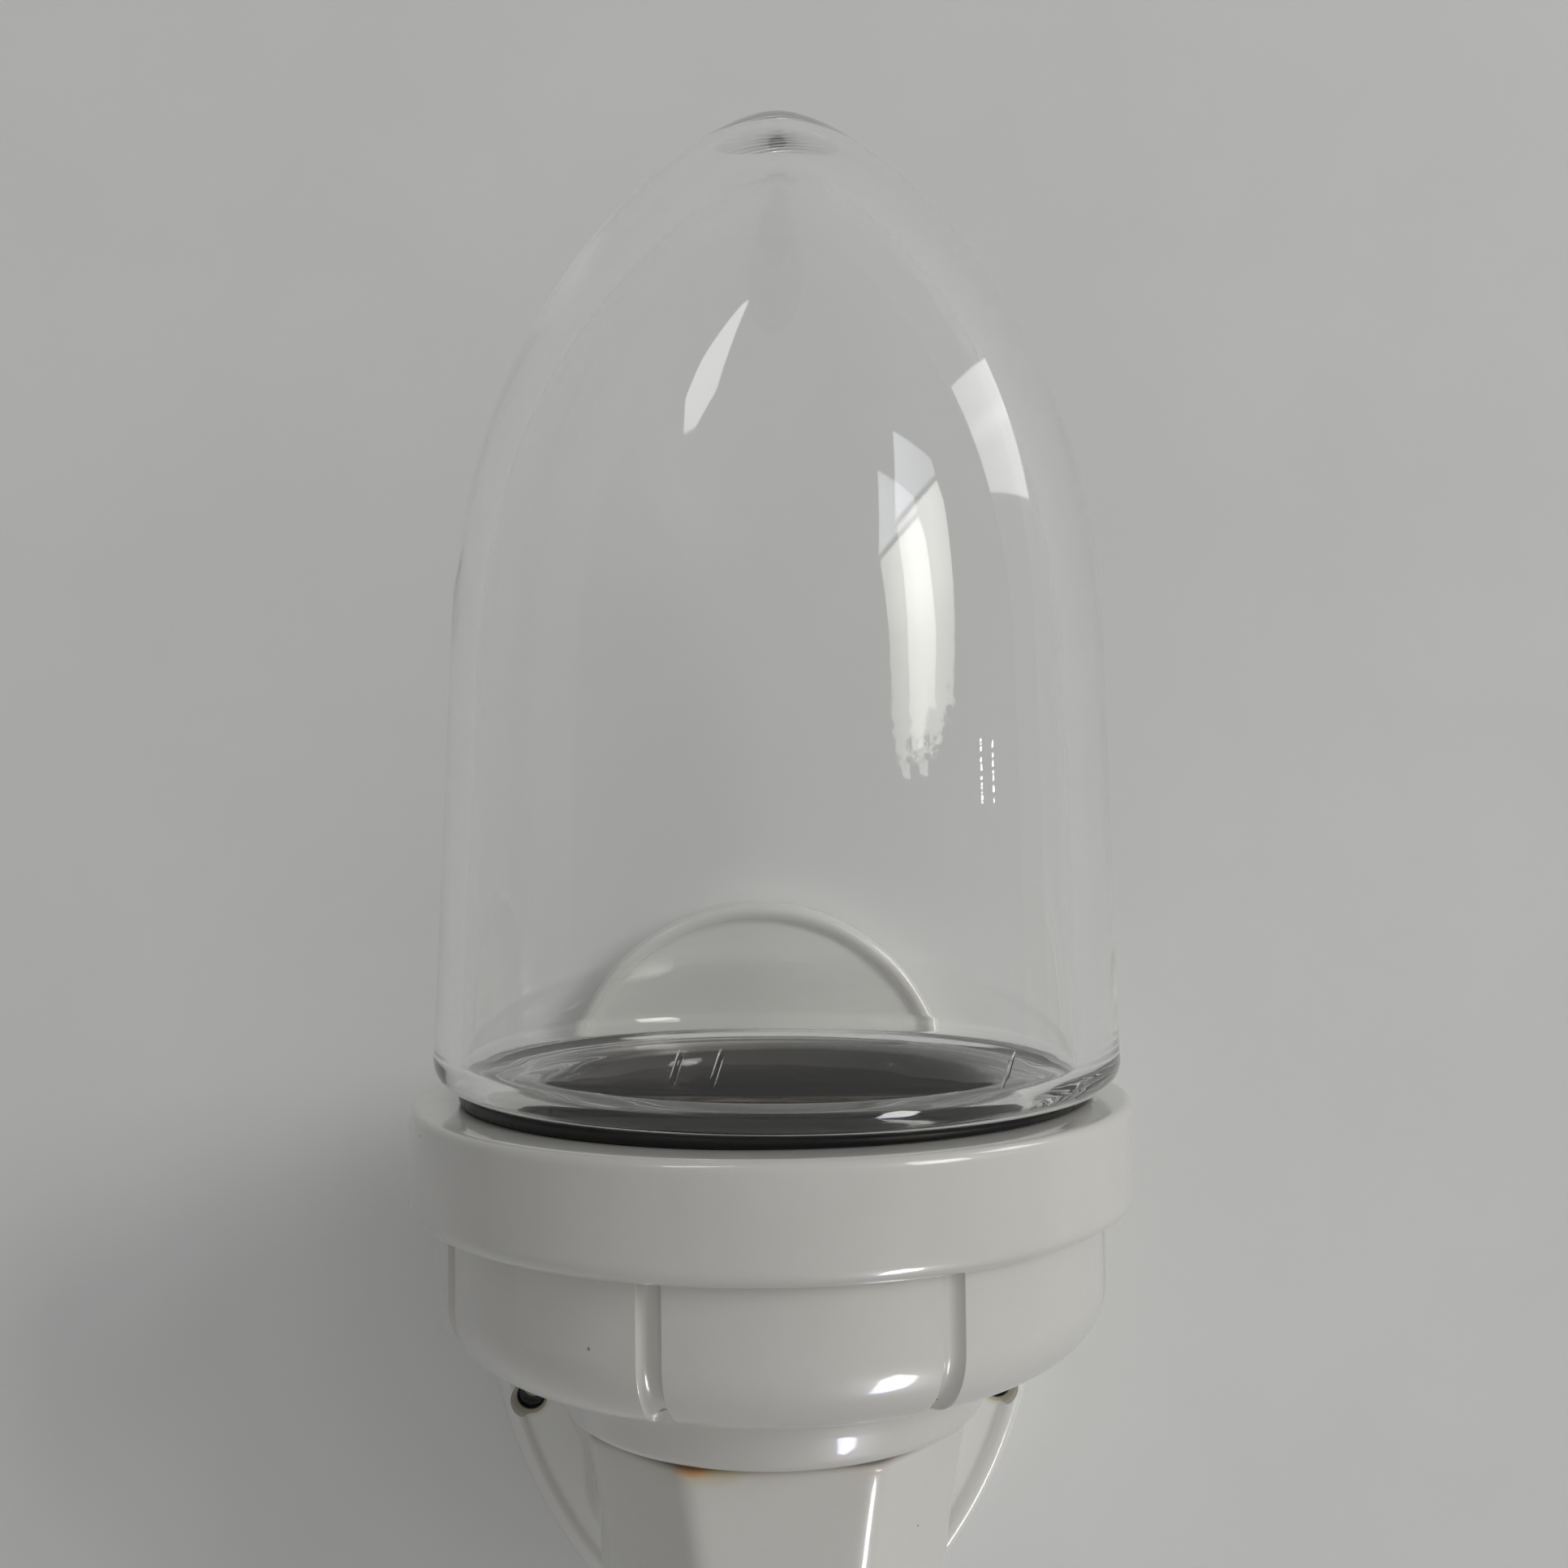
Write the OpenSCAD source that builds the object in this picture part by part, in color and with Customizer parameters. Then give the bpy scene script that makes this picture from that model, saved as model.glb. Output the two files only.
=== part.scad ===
// Bracket wall light: porcelain cup on an octagonal porcelain arm with an oval
// wall plate, a clear screw-in glass dome on a black rubber seal, and an E27
// lampholder in the cup. Millimetres. Origin: centre of the wall plate's back
// face; +Z up, +X to the right, the lamp stands out towards -Y.

/* [Wall plate] */
// Half width of the oval plate
plate_w = 52.2; // [45:0.1:60]
// Half height of the oval plate
plate_h = 69.8; // [60:0.1:80]
// Radius of its two long sides
plate_side = 87.2; // [80:0.1:120]
// Thickness at the raised rim
plate_t = 9; // [6:0.5:14]
// Width of the raised rim
rim_w = 3.4; // [2:0.2:6]
// Depth of the sunk field inside the rim
field_d = 2; // [0:0.2:4]
// Screw hole offset to each side
hole_x = 44.1; // [30:0.1:46]
// Height of the two screw holes
hole_z = -21.6; // [-40:0.1:40]
// Screw hole radius
hole_r = 2.3; // [1.5:0.1:4]

/* [Cup] */
// Distance from the wall to the lamp's axis
reach = 74; // [60:0.5:110]
// Outside radius of the collar
collar_r = 52.5; // [45:0.5:60]
// Height of the collar's lower edge
collar_z0 = 29.6; // [20:0.1:40]
// Height of the collar's rim
collar_z1 = 44.7; // [35:0.1:60]
// Outside radius of the fluted bowl
bowl_r = 48.4; // [40:0.1:52]
// Width of a flute
flute_w = 3.2; // [2:0.1:8]
// Depth of a flute
flute_d = 1.6; // [0.5:0.1:3]
// How far the cup is turned on the arm, in degrees
cup_turn = 2.5; // [-10:0.5:10]
// Radius of the bore that takes the glass neck
neck_bore_r = 42; // [38:0.05:45]

/* [Glass dome] */
// Largest outside radius, just above the shoulder
glass_r = 49.9; // [40:0.1:55]
// Height of the shoulder's underside
glass_z0 = 46.4; // [40:0.1:60]
// Height of the tip
glass_tip = 191.3; // [120:0.1:240]
// Wall thickness
glass_wall = 5; // [3:0.1:9]
// Thickness at the tip
tip_wall = 9; // [4:0.1:12]
// Length of the neck below the shoulder
neck_len = 15; // [10:0.5:18]
// Outside radius of the neck over its thread
neck_r = 41.95; // [38:0.05:45]
// Inside radius of the neck
neck_in = 32.4; // [30:0.1:40]

/* [Seal] */
// Outside radius of the rubber seal
seal_r = 46.2; // [44:0.1:50]

/* [Hidden] */
$fn = 96;
e = 0.05;
gasket_t = 0.8;
arm_top = -gasket_t;
floor_z = 6;      // inside floor of the cup
taper = 0.0337;   // of the glass wall, per millimetre of height

// ---------------------------------------------------------------- helpers
// The oval is four arcs that run smoothly into each other.
side_off = plate_side - plate_w;
plate_end = (pow(plate_side, 2) - pow(side_off, 2) - pow(plate_h, 2)) / (2 * (plate_side - plate_h));
end_z = plate_h - plate_end;
meet = atan2(end_z, side_off);
function arc(cx, cz, r, a0, a1, n) =
  [for (i = [0 : n - 1]) let (a = a0 + (a1 - a0) * i / n) [cx + r * cos(a), cz + r * sin(a)]];
// an oval slab from y0 to y1, its outline moved in by an inset
module oval(inset, y0, y1) translate([0, y1, 0]) rotate([90, 0, 0]) linear_extrude(height = y1 - y0)
  polygon(concat(
    arc(-side_off, 0, plate_side - inset, -meet, meet, 22),
    arc(0, end_z, plate_end - inset, meet, 180 - meet, 24),
    arc(side_off, 0, plate_side - inset, 180 - meet, 180 + meet, 22),
    arc(0, -end_z, plate_end - inset, 180 + meet, 360 - meet, 24)));
module hexa(af, h) {
  intersection() {
    translate([0, 0, h / 2]) cube([af, 2 * af, h], center = true);
    rotate([0, 0, 60]) translate([0, 0, h / 2]) cube([af, 2 * af, h], center = true);
    rotate([0, 0, 120]) translate([0, 0, h / 2]) cube([af, 2 * af, h], center = true);
  }
}
module ring(ro, ri, h) difference() {
  cylinder(r = ro, h = h);
  translate([0, 0, -1]) cylinder(r = ri, h = h + 2);
}
module at_cup() translate([0, -reach, 0]) children();

// ------------------------------------------------- wall plate and arm
// One section of the arm: [front or low point y, z], [back or high point y, z],
// half width, half width of the front (or low) facet, half width of the back one.
sec = [
  [[-100.5,  -0.8], [-47.5,  -0.8], 26.6, 13.2, 12.0],
  [[ -98.4, -17.0], [-45.5,  -2.6], 24.8, 11.3, 11.0],
  [[ -93.5, -33.0], [-42.5,  -3.4], 24.3, 11.0, 11.0],
  [[ -81.5, -46.5], [-38.5,  -3.8], 24.6, 11.0, 11.0],
  [[ -62.0, -54.0], [-33.5,  -3.2], 25.8, 12.0, 12.0],
  [[ -38.0, -57.0], [-27.0,  -1.2], 28.4, 13.5, 13.5],
  [[ -21.0, -58.5], [-18.5,   3.0], 30.5, 15.0, 15.0],
  [[ -11.0, -60.5], [-10.6,  10.0], 34.2, 18.0, 18.0],
  [[  -6.5, -62.5], [ -6.5,  16.0], 37.4, 21.5, 21.5],
  [[  -4.0, -62.5], [ -4.0,  16.0], 37.4, 21.5, 21.5]];
isec = [
  [[ -93.0,  -8.8], [-53.0,  -8.8], 19.2,  9.0,  9.0],
  [[ -91.5, -19.0], [-48.5,  -9.6], 18.2,  8.0,  8.0],
  [[ -86.0, -31.0], [-45.0, -10.2], 18.0,  8.0,  8.0],
  [[ -75.0, -41.0], [-40.0, -10.6], 18.4,  8.0,  8.0],
  [[ -58.0, -47.0], [-34.5, -10.4], 19.6,  9.0,  9.0],
  [[ -36.5, -50.0], [-28.0,  -9.2], 22.2, 10.5, 10.5],
  [[ -20.5, -52.0], [-18.0,  -6.0], 26.0, 13.0, 13.0],
  [[  -8.0, -54.0], [ -8.0,  -5.5], 30.0, 16.0, 16.0],
  [[   1.0, -54.0], [  1.0,  -5.5], 30.0, 16.0, 16.0]];

// the eight corners of one section; k places the side flats along it
function corner(s, t, x) = [x, s[0][0] + (s[1][0] - s[0][0]) * t, s[0][1] + (s[1][1] - s[0][1]) * t];
function octo(s, k = 0.27) = [
  corner(s, 0, -s[3]), corner(s, 0, s[3]),
  corner(s, k, s[2]), corner(s, 1 - k, s[2]),
  corner(s, 1, s[4]), corner(s, 1, -s[4]),
  corner(s, 1 - k, -s[2]), corner(s, k, -s[2])];
module loft(list) {
  n = len(list);
  pts = [for (s = list) each octo(s)];
  side = [for (i = [0 : n - 2]) for (j = [0 : 7]) let (a = i * 8 + j, b = i * 8 + (j + 1) % 8)
    each [[a, b, a + 8], [b, b + 8, a + 8]]];
  polyhedron(points = pts, faces = concat(
    side,
    [for (j = [1 : 6]) [0, j + 1, j]],
    [for (j = [1 : 6]) [(n - 1) * 8, (n - 1) * 8 + j, (n - 1) * 8 + j + 1]]), convexity = 6);
}

module wall_plate_and_arm() color([0.93, 0.92, 0.89]) difference() {
  union() {
    difference() {
      oval(0, -plate_t, 0);
      oval(rim_w, -plate_t - 1, -plate_t + field_d);
    }
    loft(sec);
  }
  // hollow inside, with a boss left for the terminal block
  difference() {
    loft(isec);
    translate([-8, -52, -60]) cube([16, 26, 27]);
  }
  // wall screw holes, countersunk
  for (s = [-1, 1]) translate([s * hole_x, 0, hole_z]) rotate([90, 0, 0]) {
    translate([0, 0, -1]) cylinder(r = hole_r, h = plate_t + 2);
    translate([0, 0, plate_t - field_d - 0.8]) cylinder(r1 = hole_r, r2 = hole_r + 0.8, h = 0.8 + e);
  }
  // hole for the tie tube
  at_cup() translate([0, 0, -12]) cylinder(r = 5.25, h = 14);
  // blind hole in the boss for the fixing screw
  translate([0, -25, -41]) rotate([90, 0, 0]) cylinder(r = 1.25, h = 11, $fn = 32);
}

// ------------------------------------------------- cup
function quarter(cx, cz, rx, rz, a0, a1, n) =
  [for (i = [0 : n]) let (a = a0 + (a1 - a0) * i / n) [cx + rx * cos(a), cz + rz * sin(a)]];
cup_profile = concat(
  [[5.25, 0]],
  quarter(28.4, 2.6, 2.7, 2.6, -90, -15, 5),
  [[31.5, 3.4], [32, 5], [32.7, 6.6], [33.8, 8.2], [35.3, 9.5]],
  quarter(38.9, 19.3, 9.5, 9.5, -90, 0, 9),
  [[bowl_r, collar_z0]],
  [[collar_r - 2.4, collar_z0]],
  quarter(collar_r - 2.4, collar_z0 + 2.4, 2.4, 2.4, -72, 0, 5),
  quarter(collar_r - 1.4, collar_z1 - 1.4, 1.4, 1.4, 0, 90, 4),
  [[neck_bore_r + 0.6, collar_z1], [neck_bore_r, collar_z1 - 0.6],
   [neck_bore_r, collar_z1 - 15.5], [40.6, collar_z1 - 16.2], [40.6, 20]],
  quarter(36.6, 19, 4, 4, -10, -80, 4), [[31, 13.2]],
  quarter(25.4, 9.4, 3.4, 3.4, 20, -90, 5),
  [[5.25, floor_z]]);
module cup() color([0.93, 0.92, 0.89]) at_cup() rotate([0, 0, cup_turn]) difference() {
  rotate_extrude($fn = 128) polygon(cup_profile);
  // eight flutes round the bowl, each as deep as flute_d all the way down
  difference() {
    for (i = [0 : 7]) rotate([0, 0, 22.5 + 45 * i])
      translate([36.3, -flute_w / 2, 9]) cube([20, flute_w, collar_z0 - 9.5]);
    rotate_extrude($fn = 128) polygon(concat([[30, 11.5]],
      quarter(38.9, 19.3, 9.5 - flute_d, 9.5 - flute_d, -90, 0, 9),
      [[bowl_r - flute_d, collar_z0 + 1], [30, collar_z0 + 1]]));
  }
  // two holes for the holder screws with pockets for their nuts
  rotate([0, 0, -cup_turn]) for (s = [-1, 1]) translate([s * 19.5, 0, 0]) {
    translate([0, 0, -1]) cylinder(r = 2.3, h = 9, $fn = 32);
    translate([0, 0, -1]) hexa(7.3, 4.8);
  }
}

module joint_gasket() color([0.16, 0.13, 0.11]) at_cup() translate([0, 0, arm_top])
  difference() {
    cylinder(r = 25.2, h = gasket_t);
    translate([0, 0, -1]) cylinder(r = 5.6, h = 3);
    for (s = [-1, 1]) translate([s * 19.5, 0, -1]) cylinder(r = 4.6, h = 3, $fn = 32);
  }

// ------------------------------------------------- glass and seal
function dome(rb, zc, zt, n) = [for (i = [0 : n]) let (
    s = 1 - pow(1 - i / n, 1.9), z = zc + (zt - zc) * s)
  [(rb - taper * (z - 48.3)) * pow(max(0, 1 - pow(s, 2.216)), 1 / 1.389), z]];
glass_outer = concat(
  [[neck_in, glass_z0 - neck_len + 1], [neck_in + 1, glass_z0 - neck_len],
   [neck_r - 1, glass_z0 - neck_len], [neck_r, glass_z0 - neck_len + 1],
   [neck_r, glass_z0], [glass_r - 4.3, glass_z0]],
  quarter(glass_r - 4.3, glass_z0 + 4.3, 4.3, 4.3, -72, 0, 4),
  dome(glass_r, 111, glass_tip, 22));
glass_inner = dome(glass_r - glass_wall, 108, glass_tip - tip_wall, 18);
module glass_dome() color([0.8, 0.88, 0.88, 0.4]) at_cup() rotate_extrude($fn = 96) polygon(concat(
  glass_outer,
  [for (i = [18 : -1 : 0]) glass_inner[i]],
  // the floor slopes down like a funnel into the neck
  [[glass_r - glass_wall, 51], [glass_r - glass_wall - 0.4, 49.6], [glass_r - glass_wall - 1.4, 48.6],
   [neck_in + 8.8, 47.9], [neck_in + 4, 47.2], [neck_in + 1.6, 46.6], [neck_in + 0.4, 45.6], [neck_in, 44.2]]));

module rubber_seal() color([0.05, 0.05, 0.05]) at_cup() difference() {
  translate([0, 0, collar_z1]) cylinder(r = seal_r, h = glass_z0 - collar_z1, $fn = 128);
  translate([0, 0, collar_z1 - 1]) cylinder(r = 42.3, h = 5, $fn = 128);
}

// ------------------------------------------------- tie between cup and arm
module tie_tube() color([0.45, 0.33, 0.25]) at_cup() translate([0, 0, -13.4]) ring(4.95, 3.9, 23.2);
module upper_tie_washer() color([0.55, 0.5, 0.45]) at_cup() translate([0, 0, floor_z]) ring(9.5, 5.1, 1);
module upper_tie_nut() color([0.5, 0.42, 0.35]) at_cup() translate([0, 0, floor_z + 1]) difference() {
  hexa(14, 2.4);
  translate([0, 0, -1]) cylinder(r = 5, h = 5);
}
module lower_tie_washer() color([0.55, 0.5, 0.45]) at_cup() translate([0, 0, arm_top - 9]) ring(9.5, 5.1, 1);
module lower_tie_nut() color([0.5, 0.42, 0.35]) at_cup() translate([0, 0, arm_top - 9 - 2.6]) difference() {
  hexa(14, 2.6);
  translate([0, 0, -1]) cylinder(r = 5, h = 5);
}

// ------------------------------------------------- lampholder
hb = 30.5; // height of the holder body
shell_z = 20.6; // height of the ledge under the screw shell
module holder_body() color([0.9, 0.89, 0.85]) at_cup() difference() {
  translate([0, 0, floor_z]) union() {
    cylinder(r = 24.4, h = hb - 1.2);
    cylinder(r = 23.4, h = hb - 0.4);
    cylinder(r = 17, h = hb);
  }
  // room for the nut and the leads below
  translate([0, 0, floor_z - 1]) cylinder(r = 12, h = 9);
  // seat of the screw shell, with a ledge that it stands on
  translate([0, 0, shell_z]) cylinder(r = 13.75, h = 30);
  translate([0, 0, 16.6]) cylinder(r = 12.6, h = 30);
  for (s = [-1, 1]) {
    // screw wells
    translate([s * 19.5, 0, 0]) {
      cylinder(r = 2.3, h = 40, $fn = 32);
      translate([0, 0, 19]) cylinder(r = 3.8, h = 30, $fn = 40);
    }
    // terminal wells, lead ways
    translate([-3.9, s * 19.1 - 3.4, 22.5]) cube([7.8, 6.8, 20]);
    translate([-2, s > 0 ? 8 : -20.8, 10.4]) cube([4, 12.8, 3.7]);
    translate([0, s * 19.2, 11]) cylinder(r = 1.6, h = 12, $fn = 28);
  }
  // notch for the shell's strap
  translate([-2.7, 13, 30]) cube([5.4, 4, 10]);
  // way of the centre contact, from the live terminal to the shell's floor
  translate([-3.1, -17.3, 16.6]) cube([6.2, 6, 6]);
}
module screw_shell() color([0.8, 0.65, 0.35]) at_cup() translate([0, 0, shell_z]) ring(13.7, 13.3, 36.2 - shell_z);
module centre_contact() color([0.8, 0.68, 0.4]) at_cup() {
  translate([-2.6, -17.1, 16.65]) cube([5.2, 0.6, 5.9]);
  translate([-2.6, -17.1, 16.65]) cube([5.2, 9.1, 0.6]);
  translate([0, -8.2, 16.65]) rotate([18, 0, 0]) translate([-2.6, 0, 0]) cube([5.2, 8.6, 0.6]);
  translate([0, 0, 19.1]) intersection() {
    cylinder(r = 2.6, h = 1.5, $fn = 36);
    translate([0, 0, -2.4]) sphere(r = 3.6, $fn = 48);
  }
}
module shell_contact() color([0.8, 0.65, 0.35]) at_cup() {
  difference() {
    translate([-2.4, 13.75, 31.2]) cube([4.8, 7.6, 0.6]);
    translate([0, 19.2, 30]) cylinder(r = 1.6, h = 3, $fn = 28);
  }
  translate([-2.4, 13.75, 30.2]) cube([4.8, 0.6, 1.6]);
}
module live_terminal() color([0.82, 0.68, 0.38]) at_cup() difference() {
  translate([-3.6, -22.3, 22.55]) cube([7.2, 6.3, 8.6]);
  translate([0, -19.2, 20]) cylinder(r = 1.25, h = 6.2, $fn = 28);
  translate([0, -19.2, 28]) cylinder(r = 1.5, h = 6, $fn = 28);
}
module neutral_terminal() color([0.82, 0.68, 0.38]) at_cup() difference() {
  translate([-3.6, 16, 22.55]) cube([7.2, 6.3, 8.6]);
  translate([0, 19.2, 20]) cylinder(r = 1.25, h = 6.2, $fn = 28);
  translate([0, 19.2, 28]) cylinder(r = 1.5, h = 6, $fn = 28);
}
module slotted(r_head, h_head, r_shaft, l_shaft, slot) difference() {
  union() {
    cylinder(r = r_head, h = h_head, $fn = 40);
    translate([0, 0, -l_shaft]) cylinder(r = r_shaft, h = l_shaft + e, $fn = 32);
  }
  translate([-r_head - 1, -slot / 2, h_head * 0.45]) cube([2 * r_head + 2, slot, h_head]);
}
module terminal_screws() color([0.75, 0.7, 0.6]) at_cup() {
  translate([0, -19.2, 31.2]) slotted(2.6, 1.6, 1.45, 3.1, 0.8);
  translate([0, 19.2, 31.85]) slotted(2.6, 1.6, 1.45, 3.8, 0.8);
}
module holder_screws() color([0.62, 0.55, 0.48]) at_cup() for (s = [-1, 1])
  translate([s * 19.5, 0, 19]) slotted(3.5, 2.6, 1.95, 18.4, 1);
module holder_nuts() color([0.5, 0.4, 0.32]) at_cup() for (s = [-1, 1])
  translate([s * 19.5, 0, 0.5]) difference() {
    hexa(7, 3.2);
    translate([0, 0, -1]) cylinder(r = 2, h = 6, $fn = 32);
  }

// ------------------------------------------------- leads
// One plane of a lead: up from z0, a bend forward, level over a length l, a bend
// up, and up again to z3. The level run is at z1 + rb.
module lead_plane(l, z0, z1, z3, rb, r) {
  translate([0, 0, z0]) cylinder(r = r, h = z1 - z0, $fn = 24);
  translate([rb, 0, z1]) rotate([90, 0, 0]) rotate([0, 0, 90])
    rotate_extrude(angle = 90, $fn = 48) translate([rb, 0]) circle(r = r, $fn = 24);
  translate([rb, 0, z1 + rb]) rotate([0, 90, 0]) cylinder(r = r, h = l - 2 * rb, $fn = 24);
  translate([l - rb, 0, z1 + 2 * rb]) rotate([90, 0, 0]) rotate([0, 0, -90])
    rotate_extrude(angle = 90, $fn = 48) translate([rb, 0]) circle(r = r, $fn = 24);
  translate([l, 0, z1 + 2 * rb]) cylinder(r = r, h = z3 - z1 - 2 * rb, $fn = 24);
}
lead_x0 = 5.2;
lead_x1 = 1.7;
module lead_low() translate([lead_x0, -19, 0]) rotate([0, 0, atan2(19 - reach, lead_x1 - lead_x0)])
  lead_plane(norm([lead_x1 - lead_x0, 19 - reach]), -33.5, -27, 7, 5, 1.15);
module lead_high() translate([lead_x1, 0, 0]) rotate([0, 0, atan2(19.2, -lead_x1)])
  lead_plane(norm([19.2, lead_x1]), 6, 9.2, 25.4, 3, 1.12);
module neutral_lead() color([0.2, 0.3, 0.55]) {
  lead_low();
  at_cup() lead_high();
}
module live_lead() color([0.35, 0.2, 0.12]) {
  mirror([1, 0, 0]) lead_low();
  at_cup() rotate([0, 0, 180]) lead_high();
}

// ------------------------------------------------- terminal block in the back
module terminal_block() color([0.88, 0.87, 0.82]) difference() {
  translate([-10, -26, -50]) cube([20, 14, 18]);
  for (s = [-1, 1]) {
    translate([s * 5.2, -19, -51]) cylinder(r = 2.35, h = 20, $fn = 36);
    for (z = [-46, -36]) translate([s * 5.2, -11, z]) rotate([90, 0, 0]) cylinder(r = 2.1, h = 7, $fn = 32);
  }
  translate([0, -11, -41]) rotate([90, 0, 0]) cylinder(r = 1.6, h = 20, $fn = 32);
}
module block_sleeves() color([0.82, 0.68, 0.38]) for (s = [-1, 1]) difference() {
  translate([s * 5.2, -19, -49.5]) cylinder(r = 2.3, h = 17, $fn = 36);
  translate([s * 5.2, -19, -51]) cylinder(r = 1.35, h = 20, $fn = 28);
  for (z = [-46, -36]) translate([s * 5.2, -19, z]) rotate([-90, 0, 0]) cylinder(r = 1.2, h = 5, $fn = 24);
}
module block_wire_screws() color([0.75, 0.7, 0.6]) for (s = [-1, 1]) for (z = [-46, -36])
  translate([s * 5.2, -14.2, z]) rotate([-90, 0, 0]) slotted(1.8, 1.4, 1.15, 3.2, 0.6);
module block_fixing_screw() color([0.7, 0.66, 0.6])
  translate([0, -12, -41]) rotate([-90, 0, 0]) slotted(2.6, 1.6, 1.2, 22, 0.7);

wall_plate_and_arm();
cup();
joint_gasket();
glass_dome();
rubber_seal();
tie_tube();
upper_tie_nut();
upper_tie_washer();
lower_tie_nut();
lower_tie_washer();
holder_body();
screw_shell();
centre_contact();
shell_contact();
live_terminal();
neutral_terminal();
terminal_screws();
holder_screws();
holder_nuts();
live_lead();
neutral_lead();
terminal_block();
block_sleeves();
block_wire_screws();
block_fixing_screw();
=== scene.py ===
import bpy
import bmesh
import math
import numpy as np
from mathutils import Vector, Matrix


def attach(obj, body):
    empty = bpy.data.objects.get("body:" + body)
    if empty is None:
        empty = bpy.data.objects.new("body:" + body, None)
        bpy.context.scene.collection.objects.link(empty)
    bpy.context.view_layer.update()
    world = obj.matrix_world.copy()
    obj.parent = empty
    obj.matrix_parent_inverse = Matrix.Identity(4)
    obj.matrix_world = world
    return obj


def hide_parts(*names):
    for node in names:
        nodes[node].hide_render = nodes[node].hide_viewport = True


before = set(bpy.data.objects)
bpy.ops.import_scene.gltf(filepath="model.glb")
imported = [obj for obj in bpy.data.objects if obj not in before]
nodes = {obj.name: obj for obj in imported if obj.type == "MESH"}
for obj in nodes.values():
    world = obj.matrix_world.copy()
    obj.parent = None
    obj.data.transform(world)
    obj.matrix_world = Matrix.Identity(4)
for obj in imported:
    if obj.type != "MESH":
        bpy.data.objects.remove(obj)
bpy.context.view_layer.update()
MM = 0.001
REACH = 74.0  # the lamp's axis stands this far from the wall, in mm
TURN = 2.5  # the cup's turn on the arm, in degrees
PITCH = 6.0  # of the glass thread


# ------------------------------------------------------------------ helpers
def resample(p, ds):
    p = np.asarray(p, float)
    d = np.r_[0, np.cumsum(np.hypot(np.diff(p[:, 0]), np.diff(p[:, 1])))]
    s = np.linspace(0, d[-1], max(2, int(round(d[-1] / ds)) + 1))
    return np.c_[np.interp(s, d, p[:, 0]), np.interp(s, d, p[:, 1])]


def soften(p, sigma, ds=0.08):
    """Rounds the corners of an open outline, its ends staying where they are."""
    q = resample(p, ds)
    k = min(int(3 * sigma / ds), len(q) - 2)
    w = np.exp(-0.5 * (np.arange(-k, k + 1) * ds / sigma) ** 2)
    w /= w.sum()
    out = q.copy()
    for c in (0, 1):
        a = q[:, c]
        pad = np.r_[2 * a[0] - a[k:0:-1], a, 2 * a[-1] - a[-2 : -k - 2 : -1]]
        out[:, c] = np.convolve(pad, w, "valid")
    return out


def thin(p, tol, longest):
    keep = np.zeros(len(p), bool)
    keep[[0, -1]] = True
    stack = [(0, len(p) - 1)]
    while stack:
        a, b = stack.pop()
        if b - a < 2:
            continue
        ab = p[b] - p[a]
        length = math.hypot(*ab) + 1e-12
        d = np.abs(ab[0] * (p[a + 1 : b, 1] - p[a, 1]) - ab[1] * (p[a + 1 : b, 0] - p[a, 0])) / length
        i = int(d.argmax())
        if d[i] > tol or length > longest:
            m = a + 1 + i if d[i] > tol else (a + b) // 2
            keep[m] = True
            stack += [(a, m), (m, b)]
    return p[keep]


def arc(cx, cz, rx, rz, a0, a1, n):
    a = np.radians(np.linspace(a0, a1, n + 1))
    return [(cx + rx * math.cos(t), cz + rz * math.sin(t)) for t in a]


def smooth01(x):
    x = np.clip(x, 0, 1)
    return x * x * (3 - 2 * x)


def mesh_object(name, verts, faces, body, node=None, materials=(), sharp=None, outward=True):
    me = bpy.data.meshes.new(name)
    me.from_pydata((np.asarray(verts, float) * MM).tolist(), [], faces)
    me.update()
    if outward:
        bm = bmesh.new()
        bm.from_mesh(me)
        bmesh.ops.recalc_face_normals(bm, faces=bm.faces)
        if bm.calc_volume(signed=True) < 0:
            bmesh.ops.reverse_faces(bm, faces=bm.faces)
        bm.to_mesh(me)
        bm.free()
    me.shade_smooth()
    if sharp:
        me.set_sharp_from_angle(angle=math.radians(sharp))
    o = bpy.data.objects.new(name, me)
    bpy.context.scene.collection.objects.link(o)
    for m in materials:
        me.materials.append(m)
    if body:
        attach(o, body)
    if node:
        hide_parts(node)
    return o


def grid_faces(nr, nc, wrap_rows=False, start=0):
    i = np.arange(nr if wrap_rows else nr - 1)[:, None]
    j = np.arange(nc)[None]
    k = (i + 1) % nr
    l = (j + 1) % nc
    return (np.stack([i * nc + j, i * nc + l, k * nc + l, k * nc + j], -1).reshape(-1, 4) + start).tolist()


def revolve(profile, theta, offset=None, dz=None):
    """Rows of a closed revolved outline round the lamp's axis. offset(r, z, theta) moves a row's radius."""
    r = profile[:, 0][:, None] * np.ones(len(theta))[None]
    z = profile[:, 1][:, None] * np.ones(len(theta))[None]
    if offset is not None:
        r = r + offset
    if dz is not None:
        z = z + dz
    return np.stack([r * np.cos(theta), r * np.sin(theta) - REACH, z], -1)


# ---------------------------------------------------------------- materials
def new_material(name):
    m = bpy.data.materials.new(name)
    m.use_nodes = True
    nt = m.node_tree
    return m, nt, nt.nodes["Principled BSDF"]


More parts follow.
